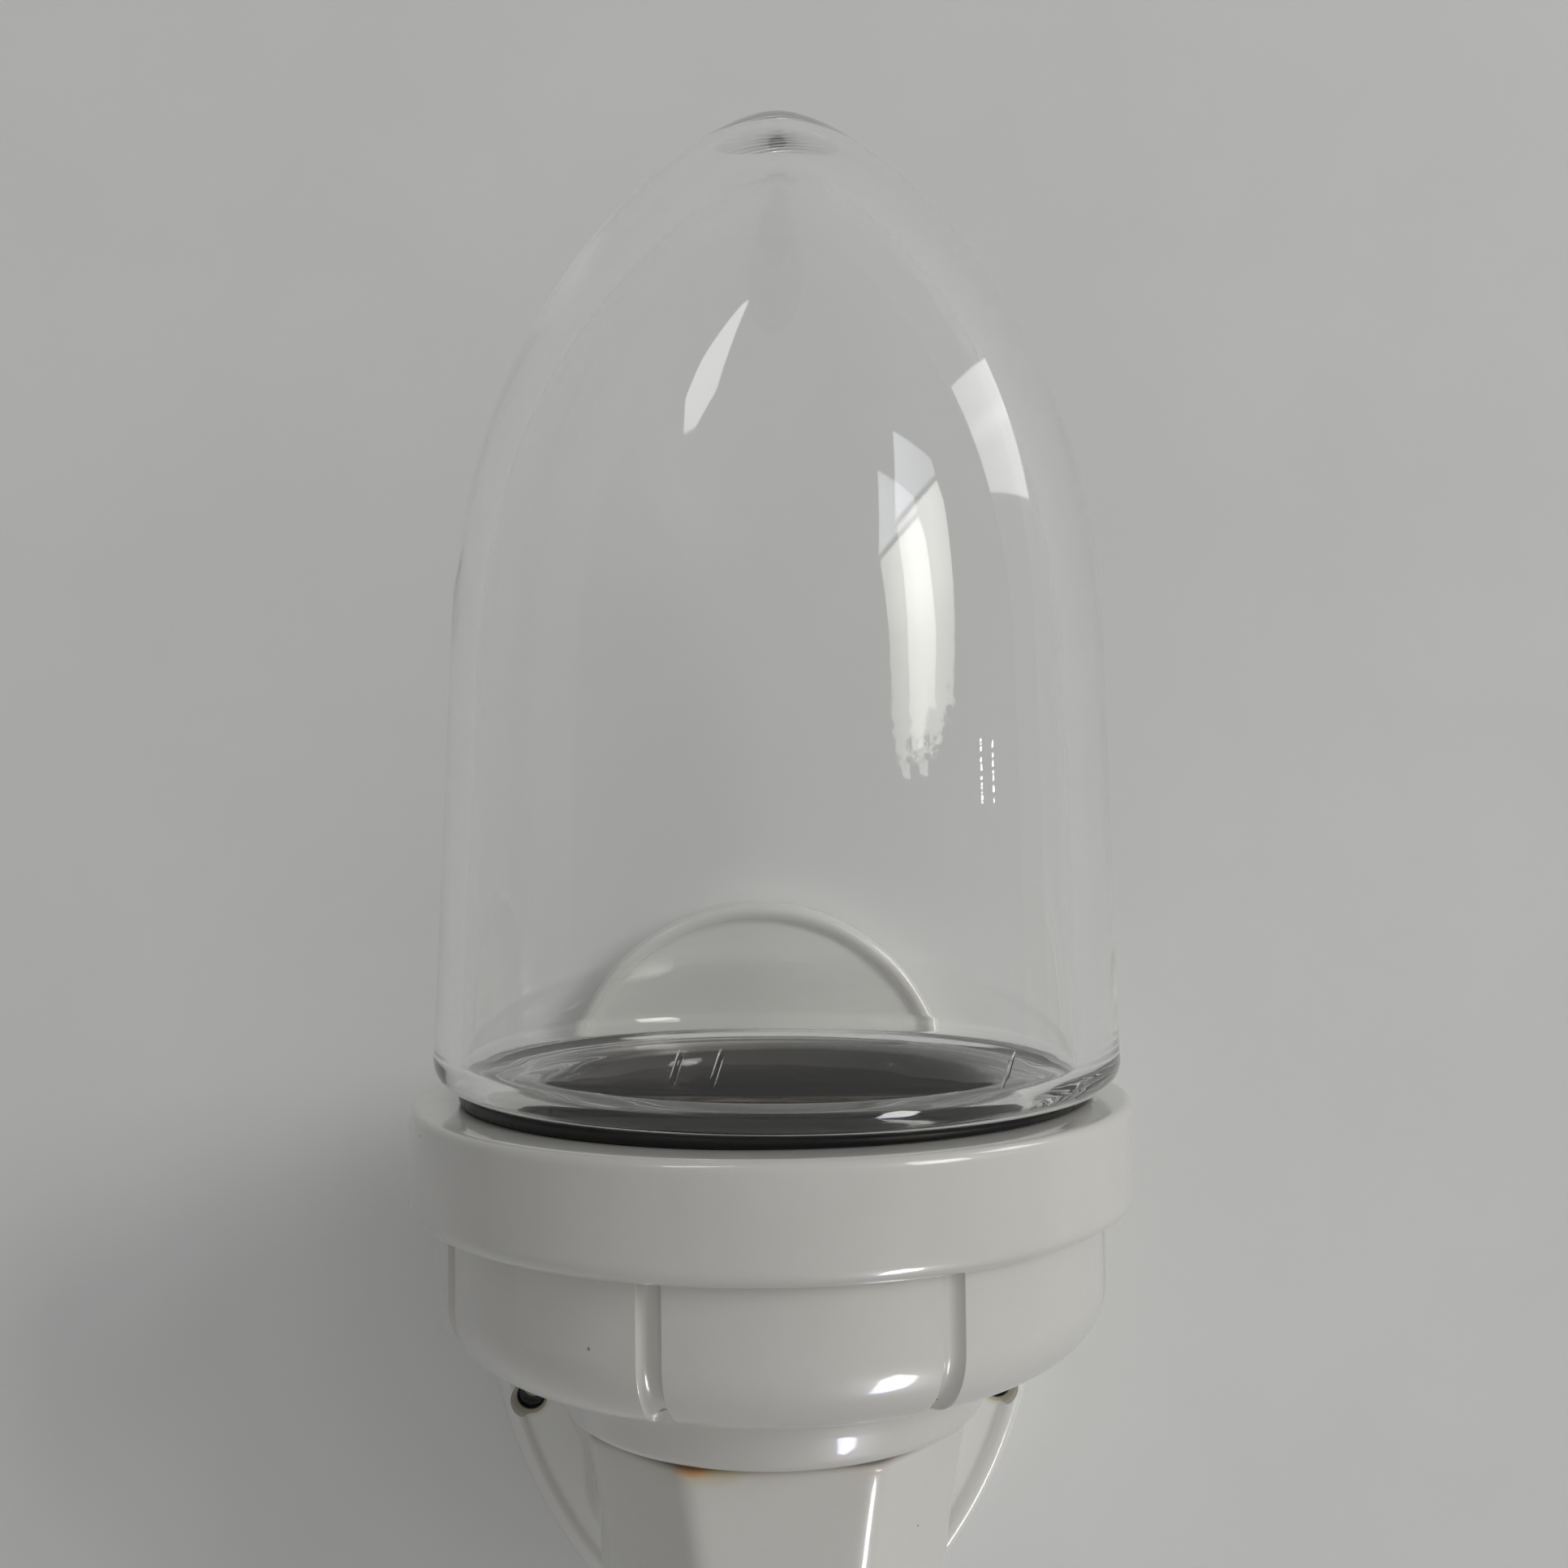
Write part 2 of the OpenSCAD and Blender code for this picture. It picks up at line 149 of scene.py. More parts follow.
class Nodes:
    """Short ways to add shader nodes."""

    def __init__(self, nt):
        self.nt = nt

    def add(self, kind, **props):
        n = self.nt.nodes.new(kind)
        for k, v in props.items():
            setattr(n, k, v)
        return n

    def put(self, socket, value):
        if isinstance(value, bpy.types.NodeSocket):
            self.nt.links.new(value, socket)
        else:
            socket.default_value = value

    def coords(self):
        return self.add("ShaderNodeTexCoord").outputs["Object"]

    def shifted(self, vec, loc=(0, 0, 0), scale=(1, 1, 1), rot=(0, 0, 0)):
        n = self.add("ShaderNodeMapping")
        self.put(n.inputs["Vector"], vec)
        n.inputs["Location"].default_value = loc
        n.inputs["Scale"].default_value = scale
        n.inputs["Rotation"].default_value = rot
        return n.outputs[0]

    def noise(self, vec, scale, detail=3.0, rough=0.5, distort=0.0):
        n = self.add("ShaderNodeTexNoise")
        self.put(n.inputs["Vector"], vec)
        n.inputs["Scale"].default_value = scale
        n.inputs["Detail"].default_value = detail
        n.inputs["Roughness"].default_value = rough
        n.inputs["Distortion"].default_value = distort
        return n.outputs["Fac"]

    def voronoi(self, vec, scale, feature="F1", rand=1.0):
        n = self.add("ShaderNodeTexVoronoi", feature=feature)
        self.put(n.inputs["Vector"], vec)
        n.inputs["Scale"].default_value = scale
        n.inputs["Randomness"].default_value = rand
        return n

    def math(self, op, a, b=0.0, c=0.0, clamp=False):
        n = self.add("ShaderNodeMath", operation=op, use_clamp=clamp)
        self.put(n.inputs[0], a)
        self.put(n.inputs[1], b)
        self.put(n.inputs[2], c)
        return n.outputs[0]

    def span(self, value, a, b, c=0.0, d=1.0, smooth=True):
        n = self.add("ShaderNodeMapRange", interpolation_type="SMOOTHSTEP" if smooth else "LINEAR", clamp=True)
        self.put(n.inputs["Value"], value)
        n.inputs["From Min"].default_value = a
        n.inputs["From Max"].default_value = b
        n.inputs["To Min"].default_value = c
        n.inputs["To Max"].default_value = d
        return n.outputs[0]

    def mix(self, fac, a, b, blend="MIX"):
        n = self.add("ShaderNodeMix", data_type="RGBA", blend_type=blend)
        self.put(n.inputs[0], fac)
        self.put(n.inputs[6], a)
        self.put(n.inputs[7], b)
        return n.outputs[2]

    def xyz(self, vec):
        n = self.add("ShaderNodeSeparateXYZ")
        self.put(n.inputs[0], vec)
        return n.outputs

    def bump(self, height, strength, distance, normal=None):
        n = self.add("ShaderNodeBump")
        n.inputs["Strength"].default_value = strength
        n.inputs["Distance"].default_value = distance
        self.put(n.inputs["Height"], height)
        if normal is not None:
            self.put(n.inputs["Normal"], normal)
        return n.outputs[0]

    def near(self, vec, point, size):
        """1 at a point, falling to 0 at size away from it (metres)."""
        d = self.add("ShaderNodeVectorMath", operation="DISTANCE")
        self.put(d.inputs[0], vec)
        d.inputs[1].default_value = point
        return self.span(d.outputs["Value"], 0.0, size, 1.0, 0.0)


def rgb(r, g, b):
    return (r, g, b, 1.0)


def porcelain(name, stains_and_painted_shading):
    m, nt, bsdf = new_material(name)
    n = Nodes(nt)
    co = n.coords()
    big = n.noise(co, 28.0, 3.0, 0.55)
    fine = n.noise(co, 420.0, 4.0, 0.6)
    col = n.mix(n.span(big, 0.3, 0.7), rgb(0.735, 0.725, 0.69), rgb(0.70, 0.692, 0.66))
    col = n.mix(n.math("MULTIPLY", n.span(fine, 0.35, 0.75), 0.12), col, rgb(0.64, 0.63, 0.585))
    # small dark specks that the firing leaves in the glaze
    v = n.voronoi(co, 210.0)
    cell = n.add("ShaderNodeSeparateColor")
    n.put(cell.inputs[0], v.outputs["Color"])
    rare = n.span(cell.outputs[0], 0.93, 0.94, 0.0, 1.0, smooth=False)
    size = n.span(cell.outputs[1], 0.0, 1.0, 0.018, 0.06, smooth=False)
    dot = n.math("LESS_THAN", v.outputs["Distance"], size)
    spots = n.math("MULTIPLY", n.math("MULTIPLY", rare, dot), 0.75)
    col = n.mix(spots, col, rgb(0.10, 0.075, 0.05))
    # real stains together with painted shade and painted light, as the given function paints them
    col = stains_and_painted_shading(n, co, col)
    n.put(bsdf.inputs["Base Color"], col)
    bsdf.inputs["Roughness"].default_value = 0.32
    bsdf.inputs["IOR"].default_value = 1.5
    bsdf.inputs["Coat Weight"].default_value = 1.0
    bsdf.inputs["Coat Roughness"].default_value = 0.035
    bsdf.inputs["Coat IOR"].default_value = 1.52
    wave = n.noise(co, 75.0, 2.0, 0.45)
    b = n.bump(wave, 0.28, 0.0005)
    n.put(bsdf.inputs["Normal"], b)
    n.put(bsdf.inputs["Coat Normal"], b)
    return m


# real rust and stains on the cup, plus painted shade inside it
def cup_stains_and_painted_shade(n, co, col):
    x, y, z = n.xyz(co)
    ragged = n.noise(co, 260.0, 4.0, 0.65)
    # rust that has crept up from the joint
    zz = n.math("ADD", z, n.math("MULTIPLY", n.math("SUBTRACT", ragged, 0.5), -0.0022))
    band = n.span(zz, 0.0, 0.0012, 1.0, 0.0)
    front = n.near(co, (-0.0122, -0.1025, 0.0006), 0.0042)
    front2 = n.near(co, (0.0146, -0.1010, 0.0006), 0.0022)
    all_round = n.span(n.noise(co, 55.0, 2.0, 0.5), 0.45, 0.70, 0.0, 0.22)
    amount = n.math("MULTIPLY", band, n.math("MAXIMUM", n.math("MAXIMUM", n.math("MULTIPLY", front, 0.85), n.math("MULTIPLY", front2, 0.5)), all_round), clamp=True)
    col = n.mix(n.math("MULTIPLY", amount, 0.35), col, rgb(0.60, 0.30, 0.10))
    # painted shade: the inside below the glass's thread is painted near-black, standing in for the shade in the cup's
    # hollow
    rad = n.add("ShaderNodeVectorMath", operation="DISTANCE")
    n.put(rad.inputs[0], n.shifted(co, scale=(1, 1, 0)))
    rad.inputs[1].default_value = (0.0, -0.074, 0.0)
    inside = n.math("MULTIPLY", n.span(rad.outputs["Value"], 0.0427, 0.0432, 1.0, 0.0), n.math("GREATER_THAN", z, n.span(rad.outputs["Value"], 0.027, 0.034, 0.0045, 0.012, smooth=False)))
    col = n.mix(n.math("MULTIPLY", inside, n.span(z, 0.0415, 0.0435, 1.0, 0.0)), col, n.mix(n.noise(co, 160.0, 3.0, 0.6), rgb(0.012, 0.011, 0.010), rgb(0.07, 0.055, 0.04)))
    # yellow-brown line under the collar
    zc = n.math("ABSOLUTE", n.math("SUBTRACT", z, 0.0296))
    line = n.span(zc, 0.0001, 0.0010, 1.0, 0.0)
    here = n.near(co, (0.0125, -0.1215, 0.0296), 0.0035)
    some = n.math("MULTIPLY", n.span(n.noise(co, 48.0, 2.0, 0.5), 0.56, 0.72), 0.22)
    col = n.mix(n.math("MULTIPLY", line, n.math("MAXIMUM", n.math("MULTIPLY", here, 0.7), some)), col, rgb(0.45, 0.30, 0.11))
    return col


# real stains and grime on the arm and plate, plus painted light on the plate and painted shade in the screw holes
def arm_stains_and_painted_shading(n, co, col):
    x, y, z = n.xyz(co)
    ragged = n.noise(co, 240.0, 4.0, 0.65)
    zz = n.math("ADD", z, n.math("MULTIPLY", n.math("SUBTRACT", ragged, 0.5), 0.0024))
    near_axis = n.span(y, -0.046, -0.044, 1.0, 0.0)
    # painted light: the plate's glaze is painted paler than the arm's, standing in for light falling on it
    col = n.mix(n.span(y, -0.024, -0.008, 0.0, 0.85), col, rgb(0.87, 0.865, 0.84))
    # a cream stain under the joint, orange just at the edge
    front = n.near(co, (-0.0095, -0.1000, -0.0014), 0.0075)
    cream = n.math("MULTIPLY", n.span(zz, -0.0036, -0.0010, 0.0, 1.0), n.math("MAXIMUM", n.math("MULTIPLY", front, 0.8), n.span(n.noise(co, 60.0, 2.0, 0.5), 0.45, 0.72, 0.0, 0.15)))
    col = n.mix(n.math("MULTIPLY", cream, near_axis), col, rgb(0.66, 0.56, 0.36))
    edge = n.near(co, (-0.0120, -0.1000, -0.0008), 0.0042)
    orange = n.math("MULTIPLY", n.span(zz, -0.0017, -0.0010, 0.0, 1.0), n.math("MAXIMUM", n.math("MULTIPLY", edge, 0.8), 0.04))
    col = n.mix(n.math("MULTIPLY", orange, near_axis), col, rgb(0.82, 0.42, 0.14))
    # the screw holes' bores are painted near-black as painted shade, and their countersinks carry yellow grime
    for s in (-1, 1):
        d = n.add("ShaderNodeVectorMath", operation="DISTANCE")
        n.put(d.inputs[0], n.shifted(co, scale=(1, 0, 1)))
        d.inputs[1].default_value = (s * 0.0441 + 0.0007, 0.0, -0.0224)
        ring = n.math("MULTIPLY", n.span(d.outputs["Value"], 0.0027, 0.0042, 0.6, 0.0), n.span(z, -0.0232, -0.0212, 1.0, 0.0))
        col = n.mix(n.math("MULTIPLY", ring, n.span(y, -0.0078, -0.0071, 0.0, 1.0)), col, rgb(0.56, 0.47, 0.25))
        # painted shade: the bore of each hole is painted near-black
        bore = n.math("MULTIPLY", n.span(d.outputs["Value"], 0.0025, 0.0028, 1.0, 0.0), n.span(y, -0.0068, -0.0062, 0.0, 1.0))
        col = n.mix(bore, col, rgb(0.012, 0.012, 0.018))
    return col


PORCELAIN_CUP = porcelain("porcelain_cup", cup_stains_and_painted_shade)
PORCELAIN_ARM = porcelain("porcelain_arm", arm_stains_and_painted_shading)


def glass_material():
    m, nt, bsdf = new_material("clear_glass")
    n = Nodes(nt)
    co = n.coords()
    # specks of dirt on the glass
    tint = rgb(0.992, 0.994, 0.990)
    v = n.voronoi(co, 72.0)
    cell = n.add("ShaderNodeSeparateColor")
    n.put(cell.inputs[0], v.outputs["Color"])
    rare = n.span(cell.outputs[0], 0.90, 0.91, 0.0, 1.0, smooth=False)
    size = n.span(cell.outputs[1], 0.0, 1.0, 0.012, 0.030, smooth=False)
    dot = n.math("MULTIPLY", rare, n.math("LESS_THAN", v.outputs["Distance"], size))
    # painted shade: the glass inside the neck is painted near-black, standing in for the shade of the cup's dark
    # opening
    rad = n.add("ShaderNodeVectorMath", operation="DISTANCE")
    n.put(rad.inputs[0], n.shifted(co, scale=(1, 1, 0)))
    rad.inputs[1].default_value = (0.0, -0.074, 0.0)
    x, y, z = n.xyz(co)
    neck_painted_shade = n.math("MULTIPLY", n.span(rad.outputs["Value"], 0.0352, 0.0376, 1.0, 0.0), n.span(z, 0.0462, 0.0474, 1.0, 0.0))
    dirty = n.mix(dot, tint, rgb(0.16, 0.14, 0.12))
    n.put(bsdf.inputs["Base Color"], n.mix(neck_painted_shade, dirty, rgb(0.006, 0.005, 0.004)))
    bsdf.inputs["Transmission Weight"].default_value = 1.0
    bsdf.inputs["IOR"].default_value = 1.5
    bsdf.inputs["Roughness"].default_value = 0.0
    # slow waves of the glass and three short oblique mould marks
    x, y, z = n.xyz(co)
    height = n.math("MULTIPLY", n.noise(n.shifted(co, scale=(1, 1, 0.35)), 55.0, 1.0, 0.5), 0.075)
    for x0, z0 in ((-0.0127, 0.0546), (-0.0079, 0.0548), (0.0275, 0.0528)):
        slant = n.math("ABSOLUTE", n.math("SUBTRACT", n.math("SUBTRACT", x, x0), n.math("MULTIPLY", n.math("SUBTRACT", z, z0), 0.32)))
        mark = n.math("MULTIPLY", n.span(slant, 0.0, 0.00022, 1.0, 0.0), n.span(n.math("ABSOLUTE", n.math("SUBTRACT", z, z0)), 0.0010, 0.0021, 1.0, 0.0))
        height = n.math("MULTIPLY_ADD", n.math("MULTIPLY", mark, n.math("LESS_THAN", y, -0.1)), 0.06, height)
    n.put(bsdf.inputs["Normal"], n.bump(height, 1.0, 0.001))
    # light from the lamps passes, less of it where it grazes the wall; so does the
    # light that the wall behind sends and takes
    clear = n.add("ShaderNodeBsdfTransparent")
    weight = n.add("ShaderNodeLayerWeight")
    weight.inputs["Blend"].default_value = 0.5
    passes = n.span(weight.outputs["Facing"], 0.55, 1.0, 0.0, 1.0)
    n.put(clear.inputs["Color"], n.mix(passes, rgb(0.985, 0.987, 0.985), rgb(0.60, 0.60, 0.60)))
    path = n.add("ShaderNodeLightPath")
    inner = n.add("ShaderNodeMixShader")
    nt.links.new(path.outputs["Is Diffuse Ray"], inner.inputs[0])
    nt.links.new(bsdf.outputs[0], inner.inputs[1])
    nt.links.new(clear.outputs[0], inner.inputs[2])
    mix = n.add("ShaderNodeMixShader")
    nt.links.new(path.outputs["Is Shadow Ray"], mix.inputs[0])
    nt.links.new(inner.outputs[0], mix.inputs[1])
    nt.links.new(clear.outputs[0], mix.inputs[2])
    out = [x for x in nt.nodes if x.type == "OUTPUT_MATERIAL"][0]
    nt.links.new(mix.outputs[0], out.inputs["Surface"])
    return m


def rubber_material(name, col, dust):
    m, nt, bsdf = new_material(name)
    bsdf.inputs["Specular IOR Level"].default_value = 0.3
    n = Nodes(nt)
    co = n.coords()
    f = n.noise(co, 700.0, 4.0, 0.6)
    c = n.mix(n.math("MULTIPLY", n.span(n.noise(co, 90.0, 3.0, 0.6), 0.45, 0.75), dust), rgb(*col), rgb(0.10, 0.095, 0.085))
    n.put(bsdf.inputs["Base Color"], c)
    n.put(bsdf.inputs["Roughness"], n.span(f, 0.3, 0.7, 0.32, 0.5))
    n.put(bsdf.inputs["Normal"], n.bump(f, 0.25, 0.0001))
    return m


def metal_material(name, col, col2, rough, rust=0.0, bump=0.1, scale=300.0):
    m, nt, bsdf = new_material(name)
    n = Nodes(nt)
    co = n.coords()
    f = n.noise(co, scale, 4.0, 0.6)
    g = n.noise(co, scale * 0.25, 3.0, 0.6)
    c = n.mix(n.span(g, 0.35, 0.68), rgb(*col), rgb(*col2))
    r = n.span(f, 0.3, 0.7, rough * 0.75, min(1.0, rough * 1.35))
    bsdf.inputs["Metallic"].default_value = 1.0
    if rust:
        k = n.span(n.math("ADD", n.math("MULTIPLY", f, 0.4), n.math("MULTIPLY", g, 0.6)), 0.62 - 0.3 * rust, 0.70 - 0.25 * rust)
        tone = n.mix(n.span(f, 0.35, 0.7), rgb(0.16, 0.055, 0.02), rgb(0.36, 0.14, 0.045))
        c = n.mix(k, c, tone)
        n.put(bsdf.inputs["Metallic"], n.span(k, 0.0, 1.0, 1.0, 0.0, smooth=False))
        r = n.math("MAXIMUM", r, n.math("MULTIPLY", k, 0.85))
    n.put(bsdf.inputs["Base Color"], c)
    n.put(bsdf.inputs["Roughness"], r)
    n.put(bsdf.inputs["Normal"], n.bump(f, bump, 0.00015))
    return m


def ceramic_material():
    m, nt, bsdf = new_material("holder_ceramic")
    n = Nodes(nt)
    co = n.coords()
    f = n.noise(co, 1500.0, 3.0, 0.6)
    g = n.noise(co, 120.0, 3.0, 0.6)
    c = n.mix(n.span(g, 0.3, 0.7), rgb(0.66, 0.62, 0.54), rgb(0.60, 0.555, 0.47))
    v = n.voronoi(co, 500.0)
    c = n.mix(n.math("MULTIPLY", n.span(v.outputs["Distance"], 0.05, 0.2, 1.0, 0.0), 0.12), c, rgb(0.30, 0.25, 0.18))
    n.put(bsdf.inputs["Base Color"], c)
    n.put(bsdf.inputs["Roughness"], n.span(f, 0.3, 0.7, 0.55, 0.75))
    n.put(bsdf.inputs["Normal"], n.bump(f, 0.2, 0.0001))
    return m


def insulation(name, a, b):
    m, nt, bsdf = new_material(name)
    n = Nodes(nt)
    co = n.coords()
    f = n.noise(co, 900.0, 3.0, 0.6)
    n.put(bsdf.inputs["Base Color"], n.mix(n.span(n.noise(co, 150.0), 0.35, 0.7), rgb(*a), rgb(*b)))
    n.put(bsdf.inputs["Roughness"], n.span(f, 0.3, 0.7, 0.42, 0.6))
    n.put(bsdf.inputs["Normal"], n.bump(f, 0.12, 0.0001))
    return m


GLASS = glass_material()
RUBBER = rubber_material("black_rubber", (0.002, 0.002, 0.0023), 0.03)
GASKET = rubber_material("gasket_rubber", (0.055, 0.040, 0.030), 0.5)
BRASS = metal_material("brass", (0.13, 0.105, 0.07), (0.075, 0.062, 0.045), 0.5)
PLATED = metal_material("plated_steel", (0.52, 0.50, 0.46), (0.38, 0.36, 0.32), 0.38, rust=0.25)
RUSTED = metal_material("rusted_steel", (0.30, 0.25, 0.20), (0.20, 0.13, 0.09), 0.5, rust=0.95, bump=0.5)
CERAMIC = ceramic_material()
PHENOLIC = insulation("dark_phenolic", (0.016, 0.012, 0.010), (0.028, 0.019, 0.013))
BROWN = insulation("brown_insulation", (0.13, 0.06, 0.03), (0.17, 0.085, 0.045))
BLUE = insulation("blue_insulation", (0.05, 0.13, 0.34), (0.07, 0.17, 0.40))

FINISH = {
    "wall_plate_and_arm": PORCELAIN_ARM, "cup": PORCELAIN_CUP, "joint_gasket": GASKET,
    "glass_dome": GLASS, "rubber_seal": RUBBER,
    "tie_tube": RUSTED, "upper_tie_nut": RUSTED, "lower_tie_nut": RUSTED, "holder_nuts": RUSTED,
    "upper_tie_washer": PLATED, "lower_tie_washer": PLATED, "terminal_screws": PLATED,
    "holder_screws": PLATED, "block_wire_screws": PLATED, "block_fixing_screw": PLATED,
    "holder_body": PHENOLIC, "terminal_block": CERAMIC,
    "screw_shell": BRASS, "centre_contact": BRASS, "shell_contact": BRASS,
    "live_terminal": BRASS, "neutral_terminal": BRASS, "block_sleeves": BRASS,
    "live_lead": BROWN, "neutral_lead": BLUE,
}
for name, m in FINISH.items():
    o = nodes[name]
    if not o.data.materials:
        o.data.materials.append(m)
    for s in o.material_slots:
        s.link = "OBJECT"
        s.material = m


# ------------------------------------------------------------------ glass
def dome_curve(base, zc, zt, n):
    i = np.linspace(0, 1, n + 1)
    s = 1 - (1 - i) ** 2.2
    z = zc + (zt - zc) * s
    r = (base - 0.0337 * (z - 48.3)) * np.maximum(0, 1 - s**2.216) ** (1 / 1.389)
    r[-1] = 0
    return list(zip(r, z))


def screw(theta, z):
    """Phase of the glass thread, the same for the neck and the cup's bore."""
    return 2 * math.pi * (z / PITCH) - theta


LEAN = 0.0106  # the glass leans this much to the right, as it sits on its seal
SHIFT = 0.9
INSIDE = -0.7


def lean(v):
    """The glass's lean and its small offset above the thread."""
    v = np.array(v, float)
    x, z = v[:, 0].copy(), v[:, 2].copy()
    w = smooth01((z - 38.0) / 8.4)
    v[:, 0] = x + w * (SHIFT + LEAN * (z - 46.4))
    v[:, 2] = z - w * LEAN * x
    return v


def make_glass():
    wall = lambda z, base: base - 0.0337 * (z - 48.3)
    outer = soften(
        [(33.0, 31.4), (40.3, 31.4), (40.5, 31.6), (40.5, 45.9), (41.0, 46.4), (45.6, 46.4)]
        + arc(45.6, 50.7, 4.3, 4.3, -90, 0, 16)[1:]
        + [(wall(z, 49.9), z) for z in np.linspace(53, 111, 16)],
        0.3,
    )
    outer = thin(outer, 0.004, 2.5)
    # finer rows where the thread is
    low = outer[(outer[:, 1] < 32.6) & (outer[:, 0] < 41)]
    high = outer[outer[:, 0] > 40.6]
    neck = np.c_[np.full(40, 40.5), np.linspace(32.7, 45.5, 40)]
    tip = np.array(dome_curve(49.9, 111, 191.3, 64))[1:]
    outer = np.vstack([low, neck, high, tip])
    inner = soften(
        [(32.4, 32.6), (32.4, 44.2), (32.8, 45.6), (34.0, 46.6), (36.4, 47.2), (41.2, 47.9), (43.6, 48.6), (44.6, 49.6), (45.0, 51.0)]
        + [(wall(z, 45.0), z) for z in np.linspace(53, 108, 18)],
        0.5,
    )
    inner = thin(inner, 0.004, 2.5)
    itip = np.array(dome_curve(45.0, 108, 182.3, 60))[1:]
    inner = np.vstack([inner, itip])
    foot = np.array([(32.7, 31.7)])
    prof = np.vstack([outer[::-1], foot, inner])  # tip, down the outside, up the inside, tip
    prof = prof[1:-1]
    nc = 288
    th = np.linspace(0, 2 * math.pi, nc, endpoint=False)
    z = prof[:, 1][:, None]
    r = prof[:, 0][:, None]
    on_neck = ((prof[:, 0] > 40.0) & (prof[:, 0] < 41.5) & (prof[:, 1] < 46.1) & (prof[:, 1] > 31.8))[:, None]
    fade = smooth01((z - 32.2) / 2.4) * (1 - smooth01((z - 43.0) / 2.2))
    lift = 0.70 * (1 + np.cos(screw(th[None], z))) * fade * on_neck
    P = revolve(prof, th, offset=lift)
    nr = len(prof)
    # the inside sits a little to the left of the outside, so the wall is uneven
    within = (np.arange(nr) > len(outer) - 1)[:, None]
    P[:, :, 0] += INSIDE * within * smooth01((z - 36.0) / 10.0) * (1 - smooth01((z - 140.0) / 36.0))
    verts = lean(np.vstack([P.reshape(-1, 3), [(0, -REACH, 191.3)], [(0, -REACH, 182.3)]]))
    faces = grid_faces(nr, nc)
    a, b = nr * nc, nr * nc + 1
    for j in range(nc):
        k = (j + 1) % nc
        faces.append((a, k, j))
        faces.append((b, (nr - 1) * nc + j, (nr - 1) * nc + k))
    return mesh_object("glass_dome_piece", verts, faces, "glass", "glass_dome", [GLASS])


# -------------------------------------------------------------------- cup
def make_cup():
    out = soften(
        [(5.25, 0.6), (5.8, 0.0), (27.0, 0.0)]
        + arc(28.4, 2.6, 2.7, 2.6, -90, -15, 9)
        + [(31.5, 3.4), (32.0, 5.0), (32.7, 6.6), (33.8, 8.2), (35.3, 9.5)]
        + arc(38.9, 19.3, 9.5, 9.5, -90, 0, 24)
        + [(48.4, 29.6), (50.1, 29.6)]
        + arc(50.1, 32.0, 2.4, 2.4, -90, 0, 10)[1:]
        + arc(51.1, 43.3, 1.4, 1.4, 0, 90, 8)
        + [(43.2, 44.7)],
        0.28,
    )
    out = thin(out, 0.004, 1.6)
    bore = np.vstack([arc(43.25, 43.8, 0.9, 0.9, 95, 180, 5), np.c_[np.full(44, 42.35), np.linspace(43.4, 29.6, 44)]])
    ins = soften(
        [(42.35, 29.5), (42.2, 29.2), (41.0, 28.8), (40.6, 28.2), (40.6, 20)]
        + arc(36.6, 19, 4, 4, -10, -80, 8)
        + [(31, 13.2)]
        + arc(25.4, 9.4, 3.4, 3.4, 20, -90, 8)
        + [(6.0, 6.0), (5.25, 5.4), (5.25, 0.7)],
        0.3,
    )
    ins = thin(ins, 0.006, 2.5)
    prof = np.vstack([out, bore, ins[1:]])
    nr = len(prof)
    # columns: close together in the flutes
    w = np.r_[-2.5, -2.1, -1.85, 1.7 * np.sin(np.linspace(-np.pi / 2, np.pi / 2, 27)), 1.85, 2.1, 2.5]  # mm to each side at the bowl's radius
    flute = np.degrees(np.arcsin(w / 48.4))
    rest = np.linspace(flute[-1], 45 + flute[0], 17)[1:-1]
    sector = np.r_[flute, rest]
    th = np.radians(np.concatenate([TURN + 22.5 + 45 * k + sector for k in range(8)]))
    local = np.radians(np.tile(sector, 8))
    local = np.where(local > math.radians(22.5), local - math.radians(45), local)
    r = prof[:, 0][:, None]
    z = prof[:, 1][:, None]
    # outward normal of the outline
    d = np.gradient(prof, axis=0)
    ln = np.hypot(d[:, 0], d[:, 1]) + 1e-12
    nrm = np.c_[d[:, 1] / ln, -d[:, 0] / ln]
    side = r * np.sin(local)[None]
    k = np.clip(np.abs(side) / 1.62, 0, 1)
    shape = (1 - k * k) ** 0.65
    on = np.zeros(nr)
    n_out = len(out)
    rr, zz = prof[:n_out, 0], prof[:n_out, 1]
    low_end = smooth01((rr - 35.6) / 0.8) * (zz > 8.5) * (zz < 29.75) * (rr < 48.6)
    high_end = 1 - smooth01((zz - 29.15) / 0.35)
    on[:n_out] = low_end * high_end
    depth = 1.6 * on[:, None] * shape
    off = -depth * nrm[:, 0][:, None]
    dz = -depth * nrm[:, 1][:, None]
    # the thread in the bore
    in_bore = np.zeros(nr)
    in_bore[n_out + 5 : n_out + len(bore)] = 1
    fade = smooth01((z - 30.0) / 2.0) * (1 - smooth01((z - 42.2) / 1.6))
    off = off - 0.70 * (1 - np.cos(screw(th[None], z))) * fade * in_bore[:, None]
    P = revolve(prof, th, offset=off, dz=dz)
    faces = grid_faces(nr, len(th), wrap_rows=True)
    return mesh_object("cup_piece", P.reshape(-1, 3), faces, "bracket", "cup", [PORCELAIN_CUP])


